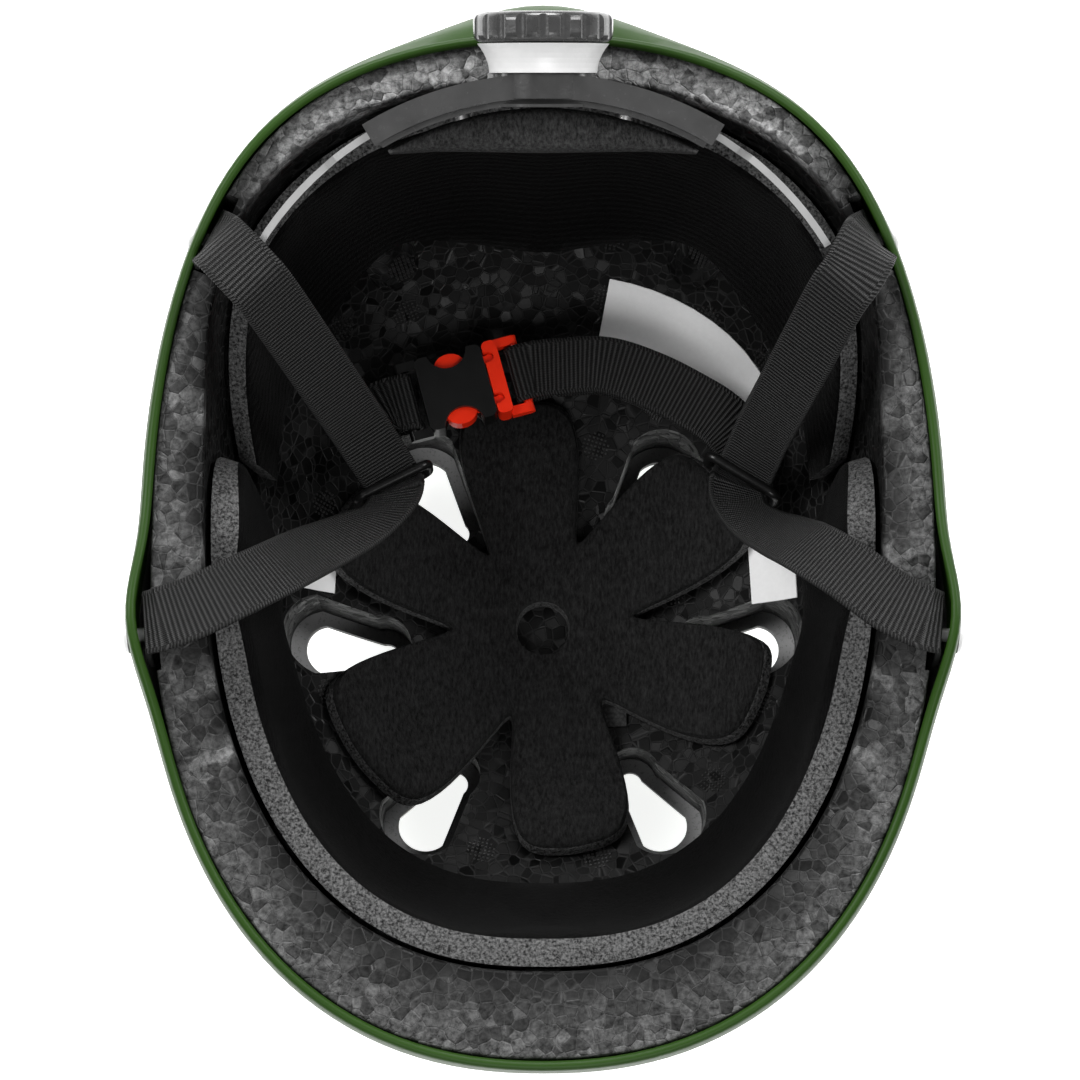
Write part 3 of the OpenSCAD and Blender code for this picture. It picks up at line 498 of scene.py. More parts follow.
raw_finish = Finish("shell_raw")
speck = raw_finish.noise(0.0009, 2, 0.7).over(0.55, 0.7)
raw_finish.set("Base Color", raw_finish.mix(speck, shade(0.30), shade(0.17)))
raw_finish.set("Roughness", 0.6 + 0.15 * raw_finish.noise(0.002))
raw_finish.set("Normal", raw_finish.bump(raw_finish.noise(0.0007), 0.00008, 0.7))

# Painted shade: the vents' cut walls are almost black, for the shade that falls inside the holes.
vent_wall_shade_finish = Finish("vent_wall_painted_shade")
shade_mottle = vent_wall_shade_finish.noise(0.001)
vent_wall_shade_finish.set("Base Color", vent_wall_shade_finish.mix(shade_mottle, shade(0.006), shade(0.02)))
vent_wall_shade_finish.set("Roughness", 0.45 + 0.2 * vent_wall_shade_finish.noise(0.002))
print("shell finishes ready")

# %% [markdown]
# Shell and foam are bowls: meridian lines from the crown up to the rim, over it and down again.
# The rim of the real shell is rounded, and the foam's rim has a soft corner, so a few points turn
# each corner. A subdivided box could be bent into such a bowl, but meridian lines put each point
# exactly on the formula. They stand 2 degrees apart, which hides their facets.

# %% Bowls
LINES = 180
DOME_STEPS = 30
BAND_STEPS = 8
RIM_FACES = 7


def dome(a, foot, reach, flared):
    """A meridian line from beside the crown's middle up to the widest height."""
    line = []
    for i in range(1, DOME_STEPS + 1):
        t = 90 * i / DOME_STEPS
        r = reach * sin(t) ** (2 / PROFILE_POWER)
        z = foot + (widest(a) - foot) * (1 - max(0.0, cos(t)) ** (2 / PROFILE_POWER))
        line.append(polar(a, r + (flare_out(a, z) if flared else 0), z))
    return line


def band(a, top, radius):
    """The line's upper part, from the widest height to the top."""
    heights = [widest(a) + (top - widest(a)) * i / BAND_STEPS for i in range(1, BAND_STEPS + 1)]
    return [polar(a, radius(a, z), z) for z in heights]


def over_rim(a, outer, inner, top, corner):
    """Points that turn the rim's two corners, from the outer radius to the inner one."""
    quarter = (0, 30, 60, 90)
    up = [polar(a, outer - corner * (1 - cos(t)), top - corner * (1 - sin(t))) for t in quarter]
    down = [polar(a, inner + corner * (1 - sin(t)), top - corner * (1 - cos(t))) for t in quarter]
    return up + down


def bowl_piece(name, lines, outer_foot, inner_foot, finishes, outer_count):
    """Joins meridian lines all the way round, with one point to close each side at the crown."""
    count = len(lines[0])
    points = [p for line in lines for p in line]
    faces, picks = [], []
    for i in range(LINES):
        here, there = i * count, (i + 1) % LINES * count
        for j in range(count - 1):
            faces.append((here + j, here + j + 1, there + j + 1, there + j))
            picks.append(0 if j < outer_count else 1)
        faces.append((len(points), here, there))
        faces.append((len(points) + 1, there + count - 1, here + count - 1))
        picks += [0, 1]
    points += [(0, 0, outer_foot), (0, 0, inner_foot)]
    picks = picks if len(finishes) > 1 else None
    piece = mesh_piece(name, points, faces, finishes, picks)
    face_outward(piece)
    return piece


print("points in a dome line:", len(dome(0, 0, outline(0), True)))

# %% [markdown]
# The vents are drop-shaped holes cut through both bowls. The foam's holes are 4 mm wider, which
# leaves a ledge of bare shell in sight. Each hole is cut by a prism with the drop's outline, as a
# moulder's pin would leave it, so its walls are straight and its edge is crisp.

# %% Drops and prisms
VENT_ANGLES = (0, 56, 124, 180, 236, 304)
VENT_CENTRE_Y, VENT_RING, VENT_LENGTH, VENT_WIDE, VENT_NARROW = -11, 52, 15, 7.5, 3.5
SLANT_VENTS = ((246, 62), (294, 62), (65, 62), (115, 62))
VENT_TALL, SLANT, SLANT_IN, SLANT_OUT = 60, 118, 12, 14
LEDGE = 4


def drop_outline(grow):
    """A drop's outline: an arc round each end and straight sides between them."""
    lean = math.degrees(math.acos((VENT_WIDE - VENT_NARROW) / VENT_LENGTH))
    wide = [lean * k / 12 for k in range(-12, 13)]
    narrow = [lean + (360 - 2 * lean) * k / 14 for k in range(15)]
    half, wide_r, narrow_r = VENT_LENGTH / 2, VENT_WIDE + grow, VENT_NARROW + grow
    ring = [(half + wide_r * cos(t), wide_r * sin(t)) for t in wide]
    return ring + [(-half + narrow_r * cos(t), narrow_r * sin(t)) for t in narrow]


def prism(ring, low, high, placed):
    """The points and faces of an upright prism, moved to its place."""
    points = [placed @ Vector((x, y, z)) for z in (low, high) for x, y in ring]
    count = len(ring)
    faces = [(k, (k + 1) % count, count + (k + 1) % count, count + k) for k in range(count)]
    return points, faces + [tuple(reversed(range(count))), tuple(range(count, 2 * count))]


def turn(axis, angle):
    return Matrix.Rotation(math.radians(angle), 4, axis)


print("points in a drop:", len(drop_outline(0)))

# %% [markdown]
# Six vents stand round the crown with their narrow ends inward. Four more slant through the
# steeper walls, where an upright prism would cut a slot far longer than the vent.

# %% Vent cutters
def vent_prisms(grow):
    """Cutters for all the vents: six upright ones round the crown, and four that slant."""
    made = []
    for a in VENT_ANGLES:
        out = Matrix.Translation((VENT_RING, 0, 0))
        placed = Matrix.Translation((0, VENT_CENTRE_Y, 0)) @ turn("Z", a) @ out
        made.append(prism(drop_outline(grow), -1, VENT_TALL, placed))
    for a, z in SLANT_VENTS:
        on_shell = Matrix.Translation(polar(a, shell_radius(a, z, 0), z))
        ring = [(-x, y) for x, y in reversed(drop_outline(grow))]
        placed = on_shell @ turn("Z", a) @ turn("Y", SLANT)
        made.append(prism(ring, -SLANT_IN - grow * 8, SLANT_OUT, placed))
    return made


print("cutters:", len(vent_prisms(0)))

# %% [markdown]
# All the cutters of a bowl are merged into one mesh first. A boolean modifier then takes it away,
# and hands the cutter's material on to the new faces, so the cut walls have their own finish.

# %% Cutting
def merged(parts):
    """Joins several lists of points and faces into one."""
    points, faces = [], []
    for some_points, some_faces in parts:
        start = len(points)
        points += some_points
        faces += [tuple(start + k for k in face) for face in some_faces]
    return points, faces


def cut(piece, prisms, finish):
    points, faces = merged(prisms)
    cutter = mesh_piece("cutter", points, faces, [finish], body=None)
    face_outward(cutter)
    carve = piece.modifiers.new("carve", "BOOLEAN")
    carve.operation = "DIFFERENCE"
    carve.solver = "EXACT"
    carve.material_mode = "TRANSFER"
    carve.object = cutter
    applied(piece)
    bpy.data.objects.remove(cutter)


def crisp(piece, angle=32):
    piece.data.shade_smooth()
    piece.data.set_sharp_from_angle(angle=math.radians(angle))


print("cutting tools ready")

# %% [markdown]
# The real shell is moulded 2.5 mm thick, with a rounded rim that curls in at the nape and flares at
# the temples. Two surfaces from the same formula, one a wall's thickness inside the other, keep
# that wall even. Thickening a single surface would round off the curl.

# %% Outer shell
RIM_CORNER = SHELL_WALL / 2 - 0.05


def shell_line(a):
    """Up the outside, over the rim and down the inside, on one meridian."""
    top = shell_edge(a)
    out = dome(a, 0, outline(a), True) + band(a, top - RIM_CORNER, lambda b, z: shell_radius(b, z, 0))
    back = dome(a, SHELL_WALL, outline(a) - SHELL_WALL, True)
    back += band(a, top - RIM_CORNER, lambda b, z: shell_radius(b, z, SHELL_WALL))
    rim = over_rim(a, shell_radius(a, top, 0), shell_radius(a, top, SHELL_WALL), top, RIM_CORNER)
    return out[:-1] + rim + list(reversed(back[:-1]))


shell_lines = [shell_line(360 * i / LINES) for i in range(LINES)]
outer_count = (DOME_STEPS + BAND_STEPS - 1) + RIM_FACES + BAND_STEPS
shell = bowl_piece("shell", shell_lines, 0, SHELL_WALL, [green_finish, raw_finish], outer_count)
cut(shell, vent_prisms(0), vent_wall_shade_finish)
crisp(shell)
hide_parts("outer_shell")
print("shell faces:", len(shell.data.polygons))

# %% [markdown]
# The foam liner is what takes a blow, so it is thick. Its rim steps down where the straps pass and
# behind each temple, which gives the short bevels that catch the light. A step is a plateau with
# two ramps, taken off the height of the edge, so the rest of the bowl's formula stays the same.

# %% Foam bowl
REAR_STRAP, FRONT_STRAP = 41, -13
STRAP_ANGLES = (REAR_STRAP, FRONT_STRAP, 180 - FRONT_STRAP, 180 - REAR_STRAP)
STEPS = ((-34, -23, 1.4), (-23, -3, 2.6), (-3, 20, 1.2))
STEP_RAMP = 2.4


def plateau(side, start, end):
    """1 between start and end, with a short ramp at both, and 0 elsewhere."""
    rise_in = min(1.0, max(0.0, (side - start) / STEP_RAMP + 0.5))
    return rise_in * min(1.0, max(0.0, (end - side) / STEP_RAMP + 0.5))


def stepped_edge(a):
    return foam_edge(a) - sum(drop * plateau(side_of(a), start, end) for start, end, drop in STEPS)


FOAM_CORNER = 1.1


def foam_side(a, z):
    return outline(a) - FOAM_OUT - curl_in(a, z)


def foam_line(a):
    """Up the side by the shell, over the rim and down into the bowl, on one meridian."""
    top = stepped_edge(a)
    out = dome(a, FOAM_OUT, outline(a) - FOAM_OUT, False) + band(a, top - FOAM_CORNER, foam_side)
    back = dome(a, FOAM_FOOT, bowl_reach(a), False) + band(a, top - FOAM_CORNER, bowl_radius)
    rim = over_rim(a, foam_side(a, top), bowl_radius(a, top), top, FOAM_CORNER)
    return out[:-1] + rim + list(reversed(back[:-1]))


foam_lines = [foam_line(360 * i / LINES) for i in range(LINES)]
foam = bowl_piece("foam_bowl", foam_lines, FOAM_OUT, FOAM_FOOT, [foam_finish], 0)
print("foam faces before the cuts:", len(foam.data.polygons))

# %% [markdown]
# Four pockets between the foam and the shell let the straps down to their rivets, and a small hole
# at the nape takes the stud that holds the cradle. One cut makes them all, with the vents, because
# a cut between fine meshes is slow and each one costs about the same.

# %% Pockets and holes in the foam
RIVET_DROP, WEB_WIDE, WEB_THICK = 14, 16, 1.5
STRAP_PLAY, FLARE_PLAY = 1.4, 0.6
POCKET_DEPTH = SHELL_WALL + STRAP_PLAY + WEB_THICK + 1 + 2
POCKET_HALF, POCKET_TALL, POCKET_IN = WEB_WIDE / 2 + 2, 60, 22
STUD_HEIGHT, STUD_R, STUD_DEEP = NAPE_EDGE - 26, 3.2, 7.5


def outline_facing(a):
    """The direction in which the outline faces, which isn't quite the direction from the middle."""
    away = abs(sin(a) / HALF_LONG) ** (OUTLINE_POWER - 1) / HALF_LONG
    across = abs(cos(a) / HALF_WIDE) ** (OUTLINE_POWER - 1) / HALF_WIDE
    return math.degrees(math.atan2(math.copysign(away, sin(a)), math.copysign(across, cos(a))))


def at_rivet(a):
    z = shell_edge(a) - RIVET_DROP
    on_shell = Matrix.Translation(polar(a, shell_radius(a, z, 0), z))
    return on_shell @ turn("Z", outline_facing(a)) @ turn("Y", 90)


def pocket(a):
    half = POCKET_HALF
    ring = [(-POCKET_TALL, -half), (half, -half), (half, half), (-POCKET_TALL, half)]
    return prism(ring, -POCKET_DEPTH, POCKET_IN, at_rivet(a))


stud_ring = [(STUD_R * cos(t), STUD_R * sin(t)) for t in range(0, 360, 15)]
stud_place = Matrix.Translation((0, bowl_reach(90) - 1, STUD_HEIGHT)) @ turn("X", -90)
stud_hole = prism(stud_ring, 0, STUD_DEEP, stud_place)
cut(foam, vent_prisms(LEDGE) + [pocket(a) for a in STRAP_ANGLES] + [stud_hole], foam_finish)
crisp(foam)
print("foam faces:", len(foam.data.polygons))

# %% [markdown]
# Now the rim's pale marks. A point of the rim is painted pale where it is close to the outer edge
# or close to either end of a step, as a painted highlight, and in the stretch round the nape, where
# the foam is abraded and cracked and also has a painted highlight. The bead foam's material reads
# this value.

# %% Painted highlight and abrasion on the foam's rim
PALE_RIM_DEEP, PALE_RIM_NAPE, PALE_RIM_RAMP = 5, 46, 12
EDGE_HIGHLIGHT, BEVEL_HIGHLIGHT, BEVEL_SPREAD = 0.6, 0.55, 1.9


def rim_highlight_and_scuff_share(x, y, z):
    """1 where the rim gets a painted highlight, with abraded foam at the nape too, and 0 where it is as
    moulded.
    """
    a, r = math.degrees(math.atan2(y, x)), math.hypot(x, y)
    side, top = side_of(a), stepped_edge(a)
    if z < top - PALE_RIM_DEEP:
        return 0.0
    # A painted highlight near the outer edge and the steps' ends, and at the nape abrasion with a painted
    # highlight.
    bevels = max(bell(side, edge, BEVEL_SPREAD) for step in STEPS for edge in step[:2])
    nape = min(1.0, max(0.0, (side - PALE_RIM_NAPE) / PALE_RIM_RAMP))
    return max(EDGE_HIGHLIGHT * bell(r, foam_side(a, top) - 0.5, 1.0), BEVEL_HIGHLIGHT * bevels, nape)


# Each point keeps its share of painted highlight and abrasion.
rim_highlight_and_scuffs = foam.data.attributes.new("rim_highlight_and_scuffs", "FLOAT", "POINT")
for vertex, mark in zip(foam.data.vertices, rim_highlight_and_scuffs.data):
    at = vertex.co / MM - SEAT
    mark.value = rim_highlight_and_scuff_share(at.x, at.y, at.z)
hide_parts("foam_liner")
print("worn points:", sum(mark.value > 0.5 for mark in rim_highlight_and_scuffs.data))

# %% [markdown]
# Steam leaves a foam mould through small round nozzles, and each one prints a disc of tiny knobs
# in the foam. They are real relief, so each disc is a grid of little four-sided knobs that stand
# on the bowl, turned to face out of it.

# %% Nozzle prints
NOZZLES = ((-38, 79), (-56, 73), (-57, 81), (19, 97), (18, 84), (46, 77), (62, 64), (-39, 89),
           (44, 91), (35, -17), (-61, 26), (-63, 15), (-59, -27), (47, -51), (-17, -70), (15, -72),
           (15, 46), (37, 4), (-40, -52), (60, -30), (-30, 62), (30, 64))
KNOB_GAP, KNOB_RISE, KNOB_SUNK = 1.15, 0.45, 0.2
KNOB_FOOT, KNOB_HEAD = 0.36, 0.15
KNOB_SIDES = [(k, (k + 1) % 4, 4 + (k + 1) % 4, 4 + k) for k in range(4)]
DISC_COUNT = 3


def bowl_floor(x, y):
    """The height of the bowl, its outward lean there, and the direction from the crown."""
    a, r = math.degrees(math.atan2(y, x)), math.hypot(x, y)
    share = min(1.0, r / bowl_reach(a))
    z = widest(a) - (widest(a) - FOAM_FOOT) * (1 - share**PROFILE_POWER) ** (1 / PROFILE_POWER)
    return z, bowl_lean(a, z), a


def knob(at, facing):
    foot = [at + facing @ Vector((u * KNOB_FOOT, v * KNOB_FOOT, -KNOB_SUNK)) for u, v in SQUARE]
    head = [at + facing @ Vector((u * KNOB_HEAD, v * KNOB_HEAD, KNOB_RISE)) for u, v in SQUARE]
    return foot + head, KNOB_SIDES + [(4, 5, 6, 7), (3, 2, 1, 0)]


def knob_disc(x, y):
    """The knobs of one nozzle: those of a square grid that lie within a circle."""
    lean, a = bowl_floor(x, y)[1:]
    facing = turn("Z", a) @ turn("Y", lean - 90)
    steps = range(-DISC_COUNT, DISC_COUNT + 1)
    made = []
    for i, j in [(i, j) for i in steps for j in steps if i * i + j * j <= (DISC_COUNT + 0.3) ** 2]:
        at = Vector((x, y, 0)) + facing @ Vector((i * KNOB_GAP, j * KNOB_GAP, 0))
        at.z = bowl_floor(at.x, at.y)[0]
        made.append(knob(at, facing))
    return made


knob_finish = Finish("nozzle_knobs")
knob_finish.set("Base Color", knob_finish.mix(knob_finish.noise(0.002), shade(0.012), shade(0.045)))
knob_finish.set("Roughness", 0.28 + 0.15 * knob_finish.noise(0.001))
knob_points, knob_faces = merged(part for x, y in NOZZLES for part in knob_disc(x, y))
knobs = mesh_piece("nozzle_prints", knob_points, knob_faces, [knob_finish])
face_outward(knobs)
knobs.data.shade_flat()
print("knobs:", len(knob_faces) // 6)

# %% [markdown]
# The pads are foam with brushed black cloth on the side that meets the head. Where the foam was
# cut its grey, grainy edge shows. The cloth is a short pile: many fine hairs, no shine, and a soft
# sheen where it is seen edge-on.

# %% Pad finishes
def pile_cloth(name, ribs=0.0, light=0.0035):
    finish = Finish(name, Roughness=0.95, Specular_IOR_Level=0.04, Sheen_Weight=0.02, Sheen_Roughness=0.4)
    brushed = finish.node("ShaderNodeMapping", {}, {"Vector": finish.place(), "Scale": (1.0, 0.35, 1.0)})
    hairs = finish.noise(0.0008, 4, 0.75, brushed).over(0.36, 0.66)
    patches = finish.noise(0.012, 3)
    finish.set("Base Color", finish.mix(hairs * 0.75 + patches * 0.25, shade(light * 0.12), shade(light)))
    height = hairs * 0.6 + patches * 0.4
    if ribs:
        upward = finish.node("ShaderNodeSeparateXYZ", {}, {0: finish.place()}, 2)
        wobble = finish.noise(0.004, 2)
        height = height + 0.2 * (upward * (2 * math.pi / ribs) + wobble * 3).sine()
    finish.set("Normal", finish.bump(height, 0.0005, 0.8))
    return finish


cloth_finish = pile_cloth("pad_cloth")
# The crown pad has the same black pile cloth, painted lighter: painted light on the crown pad.
lit_crown_pile_finish = pile_cloth("crown_pile_painted_light", light=0.026)
wall_cloth_finish = pile_cloth("wall_cloth", ribs=0.0022)

cut_finish = Finish("cut_foam", Roughness=0.85, Specular_IOR_Level=0.2)
grain = cut_finish.noise(0.00075, 3, 0.7)
pores = cut_finish.cells(0.0011, "Distance")
cut_finish.set("Base Color", cut_finish.mix(grain.over(0.36, 0.64), shade(0.004), shade(0.125)))
cut_finish.set("Normal", cut_finish.bump(grain + pores * 0.6, 0.0006, 0.8))
print("pad finishes ready")

# %% [markdown]
# A wall pad is a strip of foam that follows the bowl. Its section is a flat back, two cut edges
# and a crowned face. A strip could also be bent along the bowl by a modifier, but sections placed
# on the bowl's own formula keep the same gap to it everywhere.

# %% Sections of a pad
PAD_LIFT = 1.5
PAD_ROWS = 16
PAD_SIDE, PAD_SWELL = 0.78, 0.22
PAD_MARGIN, PAD_SPAN = 0.03, 0.94


def wall_point(a, z, lift):
    lean = bowl_lean(a, z)
    return polar(a, bowl_radius(a, z) - lift * cos(lean), z + lift * sin(lean))


def pad_section(a, low, high, lift, thick):
    """One closed section: up the back, over the top edge and down the crowned face."""
    back = [wall_point(a, low + (high - low) * k / PAD_ROWS, lift) for k in range(PAD_ROWS + 1)]
    face = []
    for k in range(PAD_ROWS, -1, -1):
        v = k / PAD_ROWS
        crown = PAD_SIDE + PAD_SWELL * max(0.0, sin(180 * v)) ** 0.5
        z = low + (high - low) * (PAD_MARGIN + PAD_SPAN * v)
        face.append(wall_point(a, z, lift + thick * crown))
    top = [back[-1].lerp(face[0], share) for share in (0.12, 0.5, 0.9)]
    return back + top + face


def pad_pick(j):
    """Cut foam on the back and the edges, cloth on the face."""
    return 1 if PAD_ROWS + 4 <= j < 2 * PAD_ROWS + 4 else 0


print("points in a pad section:", len(pad_section(0, 60, 90, PAD_LIFT, 8)))

# %% [markdown]
# A pad's face isn't a clean formula: cloth over foam swells a little between its glued edges. A
# short cloth simulation gives that. The glued back is held, air pressure swells the face, and no
# point may move further than a small cap, because these pads are thin. The result stays.

# %% Swelling a pad
SWELL_FRAMES = 20


def swell(piece, held, cap, pressure=3.0):
    """Lets air pressure swell a pad's free face, by no more than cap metres."""
    group = piece.vertex_groups.new(name="held")
    group.add(held, 1.0, "REPLACE")
    rest = [v.co.copy() for v in piece.data.vertices]
    cloth = piece.modifiers.new("cloth", "CLOTH")
    cloth.settings.vertex_group_mass = "held"
    cloth.settings.use_pressure = True
    cloth.settings.uniform_pressure_force = pressure
    cloth.settings.effector_weights.gravity = 0
    cloth.settings.tension_stiffness = 8
    cloth.settings.compression_stiffness = 8
    cloth.settings.bending_stiffness = 0.4
    cloth.settings.quality = 4
    for now in range(1, SWELL_FRAMES + 1):
        bpy.context.scene.frame_set(now)
    applied(piece)
    bpy.context.scene.frame_set(1)
    furthest = 0.0
    for vertex, start in zip(piece.data.vertices, rest):
        move = vertex.co - start
        furthest = max(furthest, move.length)
        if move.length > cap:
            vertex.co = start + move * (cap / move.length)
    piece.vertex_groups.clear()
    print(piece.name, "swelled by at most", round(furthest / MM, 2), "mm")


def back_points(piece, count, rows):
    return [k for k in range(len(piece.data.vertices)) if k % count < rows]


# %% [markdown]
# The brow pad runs round the front from temple to temple. Its ends are rounded by letting the
# height and the thickness fade together, and it is pinched where the temple straps press on it.

# %% Brow pad
BROW_PAD_END, BROW_PAD_TALL, BROW_PAD_THICK, BROW_PAD_STEPS = 17, 54, 9, 170
BROW_PAD_BELOW, BROW_END_STEEP = 8, 12
PINCH, PINCH_SIDE, PINCH_SPREAD = 0.22, -9, 7
RIPPLE, RIPPLES = 0.03, 7


def brow_section(u):
    """The section at a share u of the way round, from 0 to 1."""
    a = 180 - BROW_PAD_END + u * (180 + 2 * BROW_PAD_END)
    fade = math.sqrt(1 - (1 - min(1.0, min(u, 1 - u) * BROW_END_STEEP + 0.02)) ** 2)
    middle = edge_base(a) - BROW_PAD_BELOW - BROW_PAD_TALL / 2
    half = BROW_PAD_TALL / 2 * fade
    pinch = 1 - PINCH * bell(side_of(a), PINCH_SIDE, PINCH_SPREAD) + RIPPLE * sin(a * RIPPLES)
    thick = BROW_PAD_THICK * (0.6 + 0.4 * fade) * pinch
    return pad_section(a, middle - half, middle + half, PAD_LIFT, thick)


brow_rings = [brow_section(i / BROW_PAD_STEPS) for i in range(BROW_PAD_STEPS + 1)]
brow = skin("brow_pad_foam", brow_rings, [cut_finish, cloth_finish], pick=pad_pick)
swell(brow, back_points(brow, len(brow_rings[0]), PAD_ROWS + 4), 0.0012)
crisp(brow, 50)
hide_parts("brow_pad")
print("brow pad sections:", len(brow_rings))

# %% [markdown]
# The wall pad fills the back of the bowl. Its top follows the rim, its lower edge has a notch on
# each side of the middle, and both edges run together at the ends, so only its two heights vary.

# %% Wall pad
WALL_PAD_STEPS, WALL_PAD_HALF, WALL_PAD_THICK = 120, 70, 6.5
WALL_PAD_LOW, WALL_PAD_BELOW, WALL_PAD_END, WALL_END_HALF = 64, 10, 76, 7
WALL_NOTCH, NOTCH_SIDE, NOTCH_SPREAD = 9, 24, 10
TAPER_START, TAPER_RUN = 44, 26
STUD_LIFT, STUD_SPREAD = 3, 9


def taper(a, z, end_z):
    return z + (end_z - z) * min(1.0, max(0.0, (abs(a - 90) - TAPER_START) / TAPER_RUN))


def wall_section(a):
    notch = WALL_NOTCH * bell(abs(a - 90), NOTCH_SIDE, NOTCH_SPREAD)
    low = taper(a, WALL_PAD_LOW + notch, WALL_PAD_END - WALL_END_HALF)
    high = taper(a, edge_base(a) - WALL_PAD_BELOW, WALL_PAD_END + WALL_END_HALF)
    return pad_section(a, low, high, PAD_LIFT + STUD_LIFT * bell(a, 90, STUD_SPREAD), WALL_PAD_THICK)


wall_start = 90 - WALL_PAD_HALF
wall_span = 2 * WALL_PAD_HALF
wall_angles = [wall_start + wall_span * i / WALL_PAD_STEPS for i in range(WALL_PAD_STEPS + 1)]
wall_rings = [wall_section(a) for a in wall_angles]
wall = skin("wall_pad_foam", wall_rings, [cut_finish, wall_cloth_finish], pick=pad_pick)
swell(wall, back_points(wall, len(wall_rings[0]), PAD_ROWS + 4), 0.001)
crisp(wall, 50)
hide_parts("wall_pad")
print("wall pad sections:", len(wall_rings))

# %% [markdown]
# The crown pad is one die-cut piece with six petals and a round hole. It is drawn as sections
# that turn about the hole. Slots between the petals are dips in the reach of those sections, which
# gives the petals their round shoulders without any cutting.

# %% Crown pad
CROWN_Y, PETAL_REACH, SLOT_REACH, HOLE_R, CROWN_THICK = -7, 66, 32, 7.25, 6
SLOTS = ((7, 9), (68, 10.5), (126, 9.5), (181, 11), (250, 10), (309, 12))
SLOT_STEEP, SHOULDER = 2.6, 5
CROWN_STEPS, CROWN_ROWS = 300, 14
CROWN_SIDE, CROWN_SWELL, HOLE_BEVEL, CROWN_BEVEL = 0.86, 0.14, 0.5, 1.4


def slot_near(a):
    return min(abs((a - way + 540) % 360 - 180) / half for way, half in SLOTS)


def petal(a):
    near = slot_near(a)
    slot = (PETAL_REACH - SLOT_REACH) * math.exp(-(near**SLOT_STEEP))
    return PETAL_REACH - slot - SHOULDER * math.exp(-near)


def crown_point(a, r, lift):
    """A point above the bowl's floor, at a distance from the hole's middle."""
    x, y = r * cos(a), CROWN_Y + r * sin(a)
    z, lean, away = bowl_floor(x, y)
    inward = lift * cos(lean)
    return Vector((x - inward * cos(away), y - inward * sin(away), z + lift * sin(lean)))


def crown_section(a):
    """Out along the glued side, up the cut edge and back over the cloth."""
    r = petal(a)
    rows = range(CROWN_ROWS + 1)
    under = [crown_point(a, HOLE_R + (r - HOLE_R) * k / CROWN_ROWS, PAD_LIFT) for k in rows]
    edge = [crown_point(a, r, PAD_LIFT + CROWN_THICK * share) for share in (0.35, 0.6)]
    over = []
    for k in reversed(rows):
        v = k / CROWN_ROWS
        lift = PAD_LIFT + CROWN_THICK * (CROWN_SIDE + CROWN_SWELL * max(0.0, sin(180 * v)) ** 0.5)
        over.append(crown_point(a, HOLE_R + HOLE_BEVEL + (r - CROWN_BEVEL - HOLE_R) * v, lift))
    return under + edge + over


def crown_pick(j):
    """Cloth on the upper side, and cut foam on the rest."""
    return 1 if CROWN_ROWS + 2 <= j < 2 * CROWN_ROWS + 3 else 0


crown_rings = [crown_section(360 * i / CROWN_STEPS) for i in range(CROWN_STEPS)]
crown_finishes = [cut_finish, lit_crown_pile_finish]
crown = skin("crown_pad_foam", crown_rings, crown_finishes, joined=True, pick=crown_pick)
swell(crown, back_points(crown, len(crown_rings[0]), CROWN_ROWS + 2), 0.0009, 2.0)
crisp(crown, 50)
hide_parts("crown_pad")
print("crown pad sections:", len(crown_rings))

# %% [markdown]
# Helmet webbing is woven with ribs across it, a little over a millimetre apart, each made of fine
# slanting strands, and it has a narrow, smoother edge on both sides. The ribs are too many to model
# one by one, so a few sine waves make them as relief. They follow the strap's own map: X runs
# across the strap and Y along it, in millimetres, so they turn with it wherever it goes.

# %% Webbing
RIB_GAP = 1.25
webbing = Finish("webbing", Roughness=0.6, Specular_IOR_Level=0.3)
across = webbing.strip(0)
along = webbing.strip(1)
selvage = across.absolute().over(WEB_WIDE / 2 - 1.3, WEB_WIDE / 2 - 1.1)
turn_rate = 2 * math.pi / RIB_GAP
rib = 0.5 + 0.5 * (along * turn_rate).sine()
edge_rib = 0.5 + 0.5 * (along * (turn_rate * 1.5) + across * 2).sine()
strand = 0.5 + 0.5 * (across * 13 + along * (turn_rate * 0.5)).sine()
body_height = rib * 0.75 + strand * 0.3
weave = body_height * (1 - selvage) + (edge_rib * 0.5 + 0.15) * selvage
fluff = webbing.noise(0.0008, 2)
# The ribs' tops are painted lighter and the grooves almost black: painted highlight and painted shade on
# the relief, with a little fluff tone.
rib_light_and_shade = (weave * 0.85 + fluff * 0.15).over(0.3, 0.95)
webbing.set("Base Color", webbing.mix(rib_light_and_shade, shade(0.001), shade(0.055)))
webbing.set("Normal", webbing.bump(weave + fluff * 0.15, 0.0009, 1.0))
print("ribs to a centimetre:", round(10 / RIB_GAP))

# %% [markdown]
# A strap is a thin section drawn along a route. The route is a list of stations: a place and the
# direction in which the webbing lies flat there. A spline through the stations gives the steps
# between them, and the length run so far becomes the strap's own Y coordinate.

# %% Straps from stations
def spline(p, q, r, s, t):
    """A curve from q to r that also heeds the values before and after them."""
    square = 2 * p - 5 * q + 4 * r - s
    cube = 3 * q - p - 3 * r + s
    return 0.5 * (2 * q + (r - p) * t + square * t * t + cube * t**3)


def smooth(stations, parts):
    last = len(stations) - 1
    made = []
    for i in range(last):
        four = [stations[max(0, i - 1)], stations[i], stations[i + 1], stations[min(last, i + 2)]]
        made += [[spline(*(f[k] for f in four), t=j / parts) for k in range(4)] for j in range(parts)]
    return made + [list(stations[last])]


LEFT_HALF = [(-8, 0.35), (-7.7, 0.72), (-6.7, 0.75), (-6.4, 0.62), (-3, 0.66)]
STRAP_SECTION = LEFT_HALF + [(0, 0.68)] + [(-x, y) for x, y in reversed(LEFT_HALF)]
STRAP_SECTION += [(x, -y) for x, y in reversed(STRAP_SECTION)]


